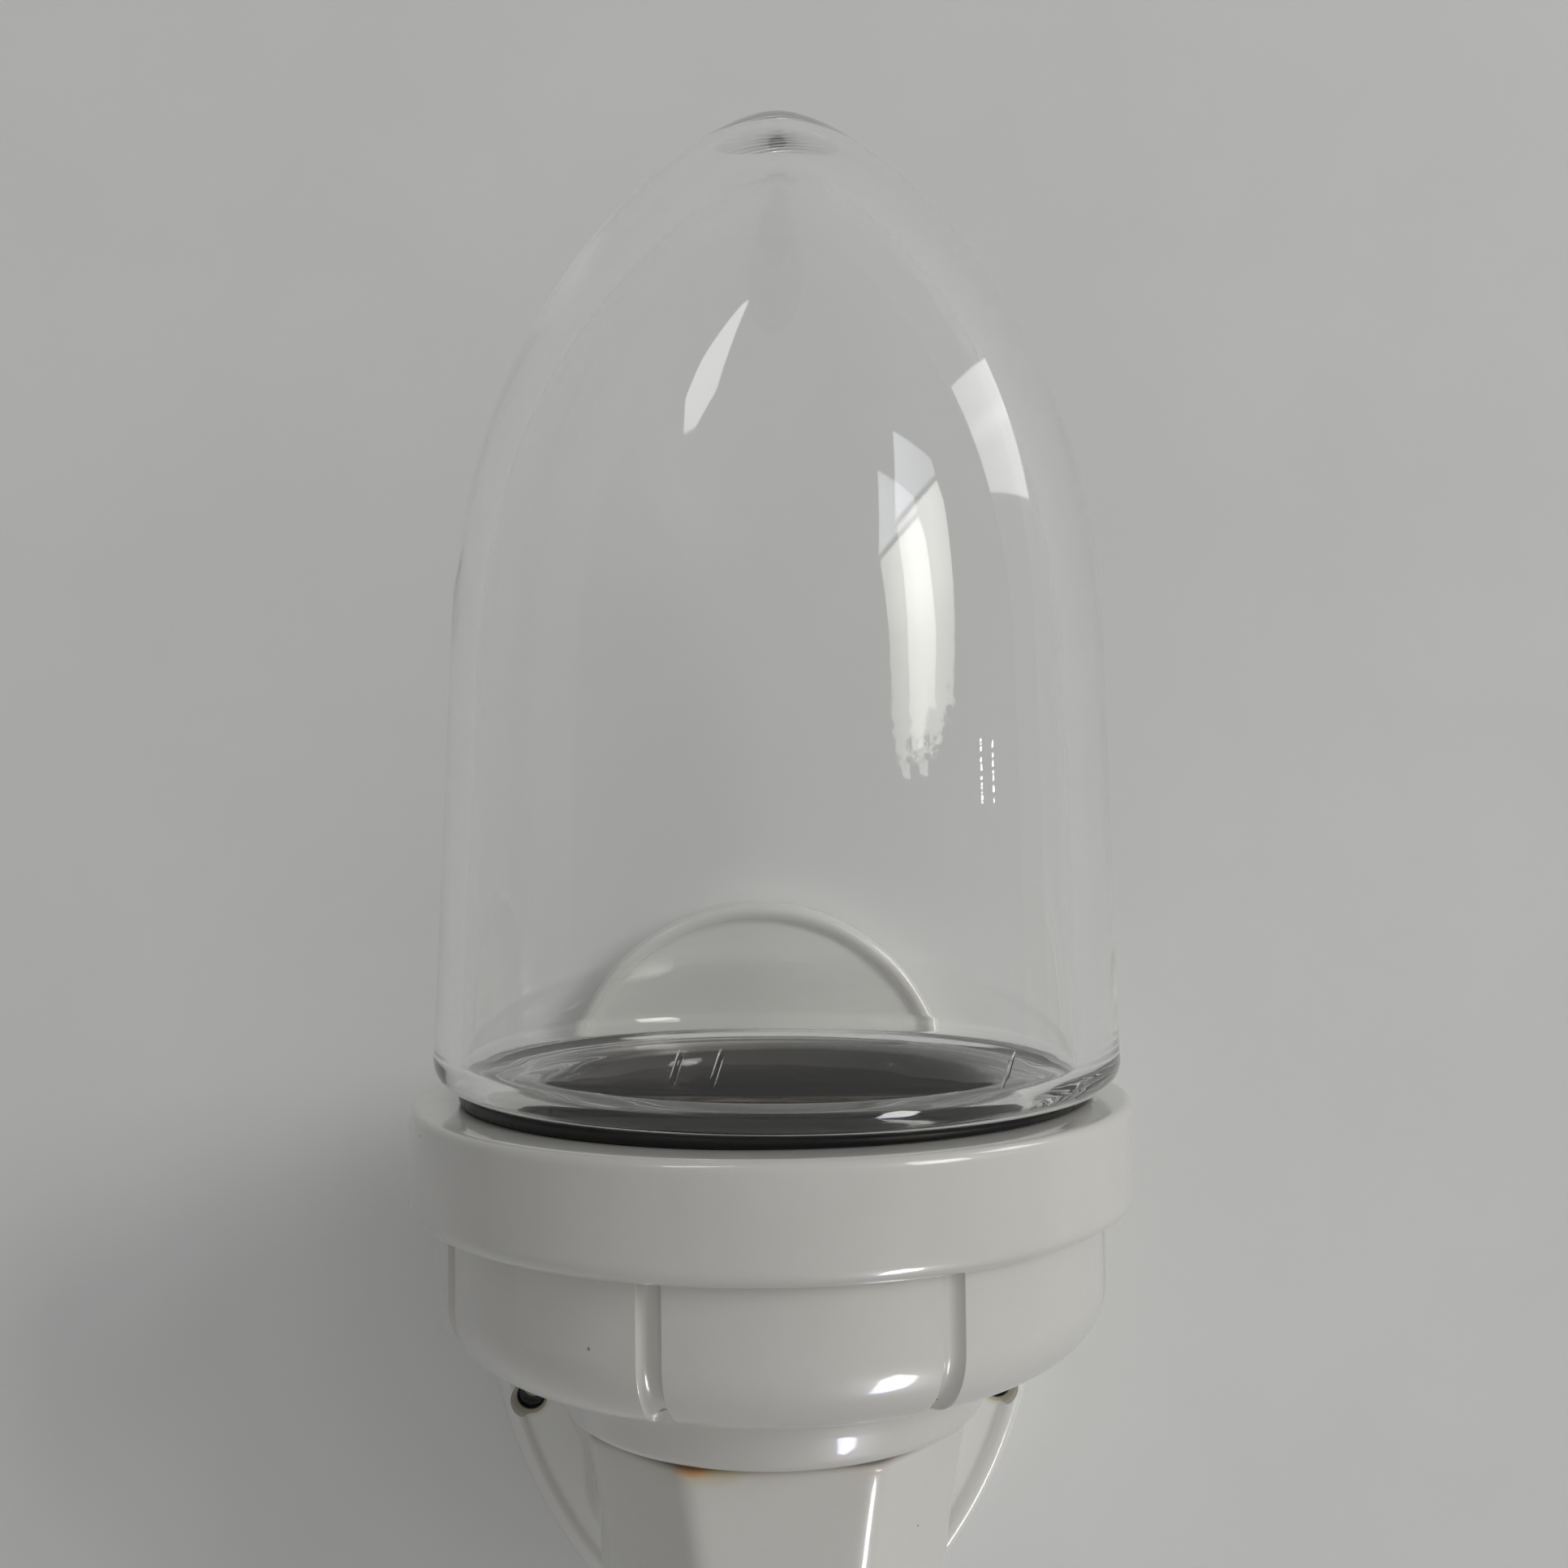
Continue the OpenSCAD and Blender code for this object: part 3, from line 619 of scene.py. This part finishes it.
# -------------------------------------------------------------------- seal
def make_seal():
    prof = soften(
        [(42.5, 44.75), (45.5, 44.72)] + arc(45.3, 45.53, 0.85, 0.81, -80, 80, 10) + [(42.6, 46.34), (42.5, 46.2), (42.5, 44.9)],
        0.12,
    )
    prof = thin(prof, 0.004, 0.8)
    nc = 256
    th = np.linspace(0, 2 * math.pi, nc, endpoint=False)
    wav = 0.10 * np.sin(3 * th + 0.7) + 0.06 * np.sin(7 * th + 2.1) + 0.04 * np.sin(13 * th)
    off = wav[None] * ((prof[:, 0] > 44.5).astype(float))[:, None]
    P = revolve(prof, th, offset=off).reshape(-1, 3)
    P[:, 2] -= (P[:, 2] - 44.7) / 1.65 * LEAN * P[:, 0]
    P[:, 0] += 0.6
    return mesh_object("rubber_seal_piece", P, grid_faces(len(prof), nc, wrap_rows=True), "seal", "rubber_seal", [RUBBER])


# ------------------------------------------------------ wall plate and arm
SEC = np.array([
    [-100.5, -0.8, -47.5, -0.8, 26.6, 13.2, 12.0],
    [-98.4, -17.0, -45.5, -2.6, 24.8, 11.3, 11.0],
    [-93.5, -33.0, -42.5, -3.4, 24.3, 11.0, 11.0],
    [-81.5, -46.5, -38.5, -3.8, 24.6, 11.0, 11.0],
    [-62.0, -54.0, -33.5, -3.2, 25.8, 12.0, 12.0],
    [-38.0, -57.0, -27.0, -1.2, 28.4, 13.5, 13.5],
    [-21.0, -58.5, -18.5, 3.0, 30.5, 15.0, 15.0],
    [-11.0, -60.5, -10.6, 10.0, 34.2, 18.0, 18.0],
    [-6.5, -62.5, -6.5, 16.0, 37.4, 21.5, 21.5],
])
ISEC = np.array([
    [-93.0, -8.8, -53.0, -8.8, 19.2, 9.0, 9.0],
    [-91.5, -19.0, -48.5, -9.6, 18.2, 8.0, 8.0],
    [-86.0, -31.0, -45.0, -10.2, 18.0, 8.0, 8.0],
    [-75.0, -41.0, -40.0, -10.6, 18.4, 8.0, 8.0],
    [-58.0, -47.0, -34.5, -10.4, 19.6, 9.0, 9.0],
    [-36.5, -50.0, -28.0, -9.2, 22.2, 10.5, 10.5],
    [-20.5, -52.0, -18.0, -6.0, 26.0, 13.0, 13.0],
    [-8.0, -54.0, -8.0, -5.5, 30.0, 16.0, 16.0],
    [0.0, -54.0, 0.0, -5.5, 30.0, 16.0, 16.0],
])


def along(table, t):
    """Catmull-Rom through the rows of a table."""
    n = len(table)
    t = min(max(t, 0.0), n - 1.0)
    i = min(int(t), n - 2)
    f = t - i
    p1, p2 = table[i], table[i + 1]
    p0 = table[i - 1] if i > 0 else 2 * p1 - p2
    p3 = table[i + 2] if i + 2 < n else 2 * p2 - p1
    return 0.5 * (2 * p1 + (p2 - p0) * f + (2 * p0 - 5 * p1 + 4 * p2 - p3) * f * f + (3 * p1 - p0 - 3 * p2 + p3) * f**3)


def contour(s, corner_cut=2.2, per_edge=26, per_corner=8, k=0.27):
    """One octagonal section with rounded corners, as points in space."""
    c = np.array([(0, -s[5]), (0, s[5]), (k, s[4]), (1 - k, s[4]), (1, s[6]), (1, -s[6]), (1 - k, -s[4]), (k, -s[4])])
    P = np.stack([c[:, 1], s[0] + (s[2] - s[0]) * c[:, 0], s[1] + (s[3] - s[1]) * c[:, 0]], -1)
    pts = []
    for i in range(8):
        a, b, d = P[i - 1], P[i], P[(i + 1) % 8]
        la, ld = np.linalg.norm(a - b), np.linalg.norm(d - b)
        cut = min(corner_cut, 0.4 * la, 0.4 * ld)
        s0, s1 = b + (a - b) / la * cut, b + (d - b) / ld * cut
        for u in np.linspace(0, 1, per_corner):
            pts.append((1 - u) ** 2 * s0 + 2 * u * (1 - u) * b + u * u * s1)
        nxt_cut_a = min(corner_cut, 0.4 * ld, 0.4 * np.linalg.norm(P[(i + 2) % 8] - d))
        e1 = d + (b - d) / ld * nxt_cut_a
        for u in np.linspace(0, 1, per_edge + 2)[1:-1]:
            pts.append(s1 + (e1 - s1) * u)
    return np.array(pts)


# the plate's outline: two long side arcs and two end arcs that meet smoothly
HALF_W, HALF_H, SIDE_R = 52.2, 69.8, 87.2
SIDE_X = SIDE_R - HALF_W
END_R = (SIDE_R**2 - SIDE_X**2 - HALF_H**2) / (2 * (SIDE_R - HALF_H))
END_Z = HALF_H - END_R


def oval_ray(cx, cz, dx, dz, grow):
    """Where rays from (cx, cz) meet the plate's outline moved out by grow."""
    lo, hi = np.zeros(len(dx)), np.full(len(dx), 200.0)
    rs, re = SIDE_R + grow, END_R + grow
    band = rs * END_Z / (SIDE_R - END_R)
    for _ in range(60):
        mid = (lo + hi) / 2
        x, z = cx + dx * mid, np.abs(cz + dz * mid)
        inside = np.where(z < band, np.hypot(np.abs(x) + SIDE_X, z) < rs, np.hypot(x, z - END_Z) < re)
        lo, hi = np.where(inside, mid, lo), np.where(inside, hi, mid)
    return np.stack([cx + dx * lo, cz + dz * lo], -1)


OFFSET = 0.7


def make_arm():
    rows = []
    base = contour(SEC[0])
    nc = len(base)
    ang = np.arctan2(base[:, 1] + REACH, base[:, 0])

    def ring_at(r, z):
        return np.stack([r * np.cos(ang), r * np.sin(ang) - REACH, np.full(nc, z)], -1)

    rows += [ring_at(5.25, -1.2), ring_at(5.6, -0.85), ring_at(6.2, -0.8), ring_at(10, -0.8), ring_at(17, -0.8)]
    R = 1.1
    mid = np.array([0, -REACH, 0])
    for a in np.radians([0, 15, 30, 45, 60, 75, 90]):  # the rounded top edge
        inset, down = R * (1 - math.sin(a)), R * (1 - math.cos(a))
        t = down / 16.2
        c = contour(along(SEC, t))
        q = c - mid
        q[:, :2] *= 1 - inset / np.linalg.norm(q[:, :2], axis=1)[:, None]
        if a == 0:
            rows.append(np.stack([q[:, 0] * 0.97, q[:, 1] * 0.97 - REACH, np.full(nc, -0.8)], -1))
        q[:, 2] = c[:, 2]
        q = q + np.array([0, -REACH, 0])
        if a == 0:
            q[:, 2] = -0.8
        rows.append(q)
    for t in np.r_[np.linspace(0.2, 1, 7), np.linspace(1.1, 6.2, 50)]:
        rows.append(contour(along(SEC, t), corner_cut=2.2 + 3.5 * float(smooth01((t - 4.5) / 2.0))))
    # a smooth flare down to the plate's sunk field
    C = (0.0, -18.0)
    p0 = rows[-1]
    d0 = (rows[-1] - rows[-2]) / (5.1 / 49) * 1.0
    last = contour(along(SEC, 7.75), corner_cut=7)
    last[:, 0] *= 1 + 0.10 * smooth01((last[:, 2] + 33.0) / 12.0) - 0.045 * np.exp(-(((last[:, 2] + 36.0) / 8.0) ** 2))
    dirs = last[:, [0, 2]] - np.array(C)
    ln = np.linalg.norm(dirs, axis=1)
    dirs /= ln[:, None]
    end = np.stack([last[:, 0], np.full(nc, -7.0), last[:, 2]], -1)
    outw = np.stack([dirs[:, 0], np.zeros(nc), dirs[:, 1]], -1)
    gap = np.linalg.norm(end - p0, axis=1)[:, None]
    m0 = d0 / np.linalg.norm(d0, axis=1)[:, None] * gap * 1.1
    m1 = outw * gap * 0.75
    for u in np.linspace(0, 1, 22)[1:]:
        h = (2 * u**3 - 3 * u**2 + 1, u**3 - 2 * u**2 + u, -2 * u**3 + 3 * u**2, u**3 - u**2)
        rows.append(h[0] * p0 + h[1] * m0 + h[2] * end + h[3] * m1)
    # the field, the rim, the outer wall and the back edge, on rays from one centre
    prof = soften(
        [(-14.0, -7.0), (-3.9, -7.0), (-3.3, -7.25), (-2.9, -8.6), (-2.3, -9.0), (-1.6, -9.05), (-0.9, -8.85), (-0.15, -8.0), (0, -7.0), (0, -0.8), (-0.25, -0.2), (-0.9, 0.0)],
        0.25,
    )
    prof = prof[prof[:, 0] > -4.6]
    prof = thin(prof, 0.004, 1.5)
    edge = rows[-1]
    hold = []
    for dr, y in prof:
        s = oval_ray(C[0], C[1], dirs[:, 0], dirs[:, 1], dr)
        hold.append(np.stack([s[:, 0], np.full(nc, y), s[:, 1]], -1))
    for u in (0.2, 0.4, 0.6, 0.8):
        q = edge + (hold[0] - edge) * u
        q[:, 1] = -7.0
        rows.append(q)
    rows += hold
    # back face and hollow
    ih = contour(ISEC[8], corner_cut=4)
    opening = lambda grow, y: np.stack([ih[:, 0] * (1 + grow / 30), np.full(nc, y), (ih[:, 2] + 29.75) * (1 + grow / 24) - 29.75], -1)
    o1 = opening(1.0, 0.0)
    for u in (0.33, 0.66):
        q = rows[-1] + (o1 - rows[-1]) * u
        q[:, 1] = 0
        rows.append(q)
    rows += [o1, opening(0.45, -0.12), opening(0.12, -0.45), opening(0.0, -1.0)]
    for t in np.r_[np.linspace(7.8, 7.0, 4), np.linspace(6.8, 0.25, 34), 0.12]:
        rows.append(contour(along(ISEC, t), corner_cut=3.5))
    top = contour(ISEC[0], corner_cut=3.5)
    tq = top - np.array([0, -REACH, 0])

    def shrink(f, z):
        return np.stack([tq[:, 0] * f, tq[:, 1] * f - REACH, np.full(nc, z)], -1)

    rows += [shrink(1.0, -10.0), shrink(0.985, -9.3), shrink(0.95, -8.9), shrink(0.9, -8.8), shrink(0.6, -8.8)]
    iang = np.arctan2(tq[:, 1], tq[:, 0])
    rows.append(np.stack([7.5 * np.cos(iang), 7.5 * np.sin(iang) - REACH, np.full(nc, -8.8)], -1))
    for r, z in ((5.6, -8.75), (5.25, -8.4), (5.25, -4.8)):
        rows.append(ring_at(r, z))
    P = np.array(rows)
    # the plate sits a little to the right of the arm
    P[..., 0] += OFFSET * smooth01((P[..., 1] + 40.0) / 30.0)
    o = mesh_object("wall_plate_and_arm_piece", P.reshape(-1, 3), grid_faces(len(rows), nc, wrap_rows=True), "bracket", "wall_plate_and_arm", [PORCELAIN_ARM])
    return o


def boolean(o, cutter, op):
    mod = o.modifiers.new("b", "BOOLEAN")
    mod.operation = op
    mod.solver = "EXACT"
    mod.object = cutter
    dg = bpy.context.evaluated_depsgraph_get()
    me = bpy.data.meshes.new_from_object(o.evaluated_get(dg))
    o.modifiers.clear()
    old = o.data
    o.data = me
    bpy.data.meshes.remove(old)
    bpy.data.objects.remove(cutter)


def turned(profile, nc, centre, axis):
    """A closed revolved cutter from an open outline of (r, height) whose ends lie on its axis."""
    th = np.linspace(0, 2 * math.pi, nc, endpoint=False)
    prof = np.array(profile[1:-1], float)
    rows = [np.stack([r * np.cos(th), r * np.sin(th), np.full(nc, h)], -1) for r, h in prof]
    P = np.array(rows).reshape(-1, 3)
    P = np.vstack([P, [(0, 0, profile[0][1])], [(0, 0, profile[-1][1])]])
    faces = grid_faces(len(rows), nc)
    a = len(rows) * nc
    for j in range(nc):
        k = (j + 1) % nc
        faces.append((a, k, j))
        faces.append((a + 1, (len(rows) - 1) * nc + j, (len(rows) - 1) * nc + k))
    M = Vector((0, 0, 1)).rotation_difference(Vector(axis)).to_matrix()
    P = (np.array(M) @ P.T).T + np.array(centre)
    return mesh_object("cutter", P, faces, None)


glass = make_glass()
cup = make_cup()
seal = make_seal()
arm = make_arm()
for s in (-1, 1):
    hole = turned([(0, -1.0), (2.3, -1.0), (2.3, 5.6), (2.55, 6.0), (3.3, 7.3), (3.6, 9.9), (0, 9.9)], 48, (s * 44.1 + OFFSET, 0, -22.4), (0, -1, 0))
    boolean(arm, hole, "DIFFERENCE")
bx = np.array([(x, y, z) for x in (-8, 8) for y in (-53, -26) for z in (-58, -33)], float)
boss = mesh_object("cutter", bx, [(0, 1, 3, 2), (4, 6, 7, 5), (0, 4, 5, 1), (2, 3, 7, 6), (0, 2, 6, 4), (1, 5, 7, 3)], None)
bv = boss.modifiers.new("v", "BEVEL")
bv.width, bv.segments = 0.0012, 4
dg = bpy.context.evaluated_depsgraph_get()
bm_ = bpy.data.meshes.new_from_object(boss.evaluated_get(dg))
boss.modifiers.clear()
boss.data = bm_
boolean(arm, boss, "UNION")
pin = turned([(0, 25), (1.25, 25), (1.25, 36), (0, 36)], 32, (0, 0, -41), (0, -1, 0))
boolean(arm, pin, "DIFFERENCE")
arm.data.shade_smooth()
arm.data.set_sharp_from_angle(angle=math.radians(40))
arm.data.materials.clear()
arm.data.materials.append(PORCELAIN_ARM)


# ------------------------------------------------------- brass screw shell
def make_shell():
    """The rolled sleeve of the lampholder, with its round 3.63 mm thread."""
    z = np.linspace(20.7, 36.1, 84)
    nc = 192
    th = np.linspace(0, 2 * math.pi, nc, endpoint=False)
    fade = smooth01((z - 21.4) / 1.5) * (1 - smooth01((z - 34.0) / 1.4))
    ph = 2 * math.pi * z[:, None] / 3.629 - th[None]
    r_out = 13.62 - 0.42 * (1 - np.cos(ph)) * fade[:, None]
    r_in = r_out - 0.32
    a = np.stack([r_out * np.cos(th), r_out * np.sin(th) - REACH, z[:, None] * np.ones(nc)], -1)
    b = np.stack([r_in * np.cos(th), r_in * np.sin(th) - REACH, z[:, None] * np.ones(nc)], -1)
    P = np.concatenate([a, b[::-1]])
    return mesh_object("screw_shell_piece", P.reshape(-1, 3), grid_faces(len(P), nc, wrap_rows=True), "bracket", "screw_shell", [BRASS], sharp=50)


shell = make_shell()


# ------------------------------------------------------------------- stage
def stage_material(name, col):
    m, nt, bsdf = new_material(name)
    n = Nodes(nt)
    co = n.coords()
    f = n.noise(co, 18.0, 4.0, 0.6)
    n.put(bsdf.inputs["Base Color"], n.mix(n.span(f, 0.3, 0.7), rgb(*[c * 1.01 for c in col]), rgb(*[c * 0.985 for c in col])))
    bsdf.inputs["Roughness"].default_value = 0.85
    bsdf.inputs["Specular IOR Level"].default_value = 0.2
    return m, nt, bsdf


def make_wall():
    """A plain pale wall that curves into a floor; it is seen from its front side only."""
    m, nt, bsdf = stage_material("pale_wall", (0.84, 0.84, 0.832))
    n = Nodes(nt)
    geo = n.add("ShaderNodeNewGeometry")
    clear = n.add("ShaderNodeBsdfTransparent")
    mix = n.add("ShaderNodeMixShader")
    nt.links.new(geo.outputs["Backfacing"], mix.inputs[0])
    nt.links.new(bsdf.outputs[0], mix.inputs[1])
    nt.links.new(clear.outputs[0], mix.inputs[2])
    out = [x for x in nt.nodes if x.type == "OUTPUT_MATERIAL"][0]
    nt.links.new(mix.outputs[0], out.inputs["Surface"])
    y0, z0, R = 0.6, -520.0, 200.0
    line = [(y0, 1500.0), (y0, 200.0), (y0, z0 + R)]
    for a in np.radians(np.linspace(0, 90, 13))[1:]:
        line.append((y0 - R * (1 - math.cos(a)), z0 + R * (1 - math.sin(a))))
    line.append((-2500.0, z0))
    xs = np.linspace(-1400, 1400, 9)
    verts = [(x, y, z) for y, z in line for x in xs]
    faces = []
    for i in range(len(line) - 1):
        for j in range(len(xs) - 1):
            a = i * len(xs) + j
            faces.append((a, a + 1, a + 1 + len(xs), a + len(xs)))
    o = mesh_object("backdrop", verts, faces, None, materials=[m], outward=False)
    me = o.data
    if me.polygons[0].normal.y > 0:
        me.flip_normals()
    o.visible_diffuse = False
    o.visible_shadow = False
    return o


wall = make_wall()

world = bpy.data.worlds.new("studio")
bpy.context.scene.world = world
world.use_nodes = True
wn = Nodes(world.node_tree)
bg = world.node_tree.nodes["Background"]
AMBIENT, SIDE = 0.35, 0.22
lp = wn.add("ShaderNodeLightPath")
seen = wn.math("MAXIMUM", wn.math("MAXIMUM", lp.outputs["Is Camera Ray"], lp.outputs["Is Transmission Ray"]), lp.outputs["Is Glossy Ray"])
way = wn.xyz(wn.add("ShaderNodeTexCoord").outputs["Generated"])
soft = wn.math("ADD", wn.math("MULTIPLY", way[0], SIDE), AMBIENT)
strength = wn.math("ADD", wn.math("MULTIPLY", soft, wn.math("SUBTRACT", 1.0, seen)), wn.math("MULTIPLY", seen, 0.43))
bg.inputs["Color"].default_value = rgb(1.0, 1.0, 1.0)
wn.put(bg.inputs["Strength"], strength)


def aim(az, el):
    """Unit vector. Azimuth is from the -Y side towards +X, in degrees."""
    a, e = math.radians(az), math.radians(el)
    return Vector((math.sin(a) * math.cos(e), -math.cos(a) * math.cos(e), math.sin(e)))


def light(name, az, el, dist, w, h, radiance, col=(1, 1, 1), target=(0.012, -0.118, 0.10), turn=0.0, shines=True, paint=None):
    """A window-like light, w by h degrees seen from the target."""
    d = aim(az, el)
    L = bpy.data.lights.new(name, "AREA")
    L.shape = "RECTANGLE"
    L.size, L.size_y = 2 * dist * math.tan(math.radians(w / 2)), 2 * dist * math.tan(math.radians(h / 2))
    L.energy = radiance * math.pi * L.size * L.size_y
    L.color = col
    o = bpy.data.objects.new(name, L)
    bpy.context.scene.collection.objects.link(o)
    o.location = Vector(target) + d * dist
    o.rotation_mode = "QUATERNION"
    o.rotation_quaternion = d.to_track_quat("Z", "Y") @ Matrix.Rotation(math.radians(turn), 3, "Z").to_quaternion()
    o.visible_camera = False
    if not shines:
        o.visible_diffuse = False
        o.visible_transmission = False
    if paint:
        L.use_nodes = True
        nt = L.node_tree
        n = Nodes(nt)
        em = [x for x in nt.nodes if x.type == "EMISSION"][0]
        uv = n.xyz(n.add("ShaderNodeNewGeometry").outputs["Parametric"])
        color, strength = paint(n, uv[0], uv[1])
        n.put(em.inputs["Color"], color)
        n.put(em.inputs["Strength"], strength)
    else:
        L.use_nodes = False
    return o


def pane(n, u, v, corners, soft=0.012, rough=None):
    """1 inside a convex outline given anticlockwise, 0 outside."""
    mask = None
    for (u0, v0), (u1, v1) in zip(corners, corners[1:] + corners[:1]):
        length = math.hypot(u1 - u0, v1 - v0)
        a, b = -(v1 - v0) / length, (u1 - u0) / length
        d = n.math("ADD", n.math("MULTIPLY", u, a), n.math("MULTIPLY_ADD", v, b, -(a * u0 + b * v0)))
        if rough is not None:
            d = n.math("ADD", d, rough)
        k = n.span(d, -soft, soft)
        mask = k if mask is None else n.math("MULTIPLY", mask, k)
    return mask


def window_paint(n, u, v):
    """A tall pane, its foot ragged, and above a slanting bar a duller one that shows sky."""
    flat = n.add("ShaderNodeCombineXYZ")
    n.put(flat.inputs[0], n.math("MULTIPLY", u, 3.0))
    n.put(flat.inputs[1], n.math("MULTIPLY", v, 26.0))
    rag = n.noise(flat.outputs[0], 2.0, 4.0, 0.7)
    low = n.span(v, 0.10, 0.30, 1.0, 0.10)
    rough = n.math("MULTIPLY", n.math("SUBTRACT", rag, 0.5), n.math("MULTIPLY", low, 0.22))
    main = pane(n, u, v, [(0.162, 0.088), (0.317, 0.028), (0.669, 0.078), (0.85, 0.115), (0.888, 0.19), (0.855, 0.60), (0.793, 0.693), (0.105, 0.516), (0.125, 0.333)], rough=rough)
    upper = pane(n, u, v, [(0.098, 0.545), (0.793, 0.722), (0.776, 0.795), (0.301, 0.967)])
    bright = n.math("MULTIPLY", n.span(v, 0.05, 0.36, 0.56, 1.0), n.math("ADD", n.span(u, 0.08, 0.42, 0.6, 1.0), n.span(u, 0.6, 0.9, 0.0, -0.28)))
    col = n.mix(n.span(v, 0.25, 0.7), rgb(1.0, 0.99, 0.93), rgb(1.0, 1.0, 0.96))
    sky = n.mix(n.span(u, 0.2, 0.75), rgb(0.93, 0.94, 1.0), rgb(0.62, 0.63, 0.66))
    col = n.mix(upper, n.mix(main, rgb(0, 0, 0), n.mix(bright, rgb(0, 0, 0), col)), n.mix(0.70, rgb(0, 0, 0), sky))
    return col, 1.0


def side_paint(n, u, v):
    mask = pane(n, u, v, [(0.10, 0.20), (0.84, 0.077), (0.937, 0.86), (0.10, 0.90)])
    line = n.span(n.math("ABSOLUTE", n.math("SUBTRACT", v, 0.56)), 0.0, 0.10, 1.25, 1.0)
    return n.mix(mask, rgb(0, 0, 0), rgb(0.985, 0.985, 1.0)), line


def patch_paint(n, u, v):
    mask = pane(n, u, v, [(0.441, 0.159), (0.586, 0.417), (0.518, 0.701), (0.338, 0.811), (0.271, 0.657)], 0.02)
    return n.mix(mask, rgb(0, 0, 0), n.mix(n.span(v, 0.3, 0.5), rgb(0.72, 0.74, 1.0), rgb(1.0, 0.99, 0.97))), 1.0


def streak_paint(n, u, v):
    """A drop, broad at its foot."""
    mask = pane(n, u, v, [(0.40, 0.0), (0.75, 0.08), (0.97, 0.35), (0.70, 0.80), (0.55, 1.0), (0.45, 0.95), (0.10, 0.45), (0.05, 0.20)], 0.03)
    return n.mix(mask, rgb(0, 0, 0), rgb(1.0, 1.0, 0.98)), 1.0


def dots_paint(n, u, v):
    flat = n.add("ShaderNodeCombineXYZ")
    n.put(flat.inputs[1], n.math("MULTIPLY", v, 11.0))
    n.put(flat.inputs[0], n.math("MULTIPLY", n.math("GREATER_THAN", u, 0.5), 7.0))
    k = n.span(n.noise(flat.outputs[0], 1.0, 2.0, 0.6), 0.46, 0.56)
    left, right = n.math("LESS_THAN", u, 0.13), n.math("GREATER_THAN", u, 0.87)
    return rgb(0.94, 0.94, 1.0), n.math("MULTIPLY", k, n.math("ADD", left, right))


light("window", 49.7, 21, 2.4, 24, 34, 8.0, paint=window_paint)
light("side_window", 91, 31, 0.42, 26, 26, 3.8, target=(0.027, -0.111, 0.134), shines=False, paint=side_paint)
light("bright_patch", 50, -47, 0.62, 44, 44, 13.0, target=(0.012, -0.12, 0.016), shines=False, paint=patch_paint)
light("streak", -33, 52, 1.6, 9, 30, 6.0, turn=-17, shines=False, paint=streak_paint)
light("dots", 70.3, 4.2, 1.6, 5.6, 2.8, 30.0, shines=False, paint=dots_paint)

# ------------------------------------------------------------------ camera
cam_data = bpy.data.cameras.new("camera")
cam = bpy.data.objects.new("camera", cam_data)
bpy.context.scene.collection.objects.link(cam)
cam_data.sensor_width = 36.0
cam_data.lens = 36.0 * 1982 / 1932
cam_data.clip_start, cam_data.clip_end = 0.01, 20
yaw, pitch, roll = math.radians(2.55), math.radians(1.72), math.radians(-0.61)
fwd = Vector((math.sin(yaw) * math.cos(pitch), math.cos(yaw) * math.cos(pitch), math.sin(pitch)))
right = fwd.cross(Vector((0, 0, 1))).normalized()
up = right.cross(fwd)
r2 = right * math.cos(roll) + up * math.sin(roll)
u2 = up * math.cos(roll) - right * math.sin(roll)
M = Matrix((r2, u2, -fwd)).transposed().to_4x4()
M.translation = Vector((-0.0083, -0.3137, 0.0828))
cam.matrix_world = M
bpy.context.scene.camera = cam

bpy.context.scene.view_settings.view_transform = "Standard"
bpy.context.scene.cycles.caustics_reflective = False
bpy.context.scene.cycles.max_bounces = 40
bpy.context.scene.cycles.glossy_bounces = 40
bpy.context.scene.cycles.transmission_bounces = 40
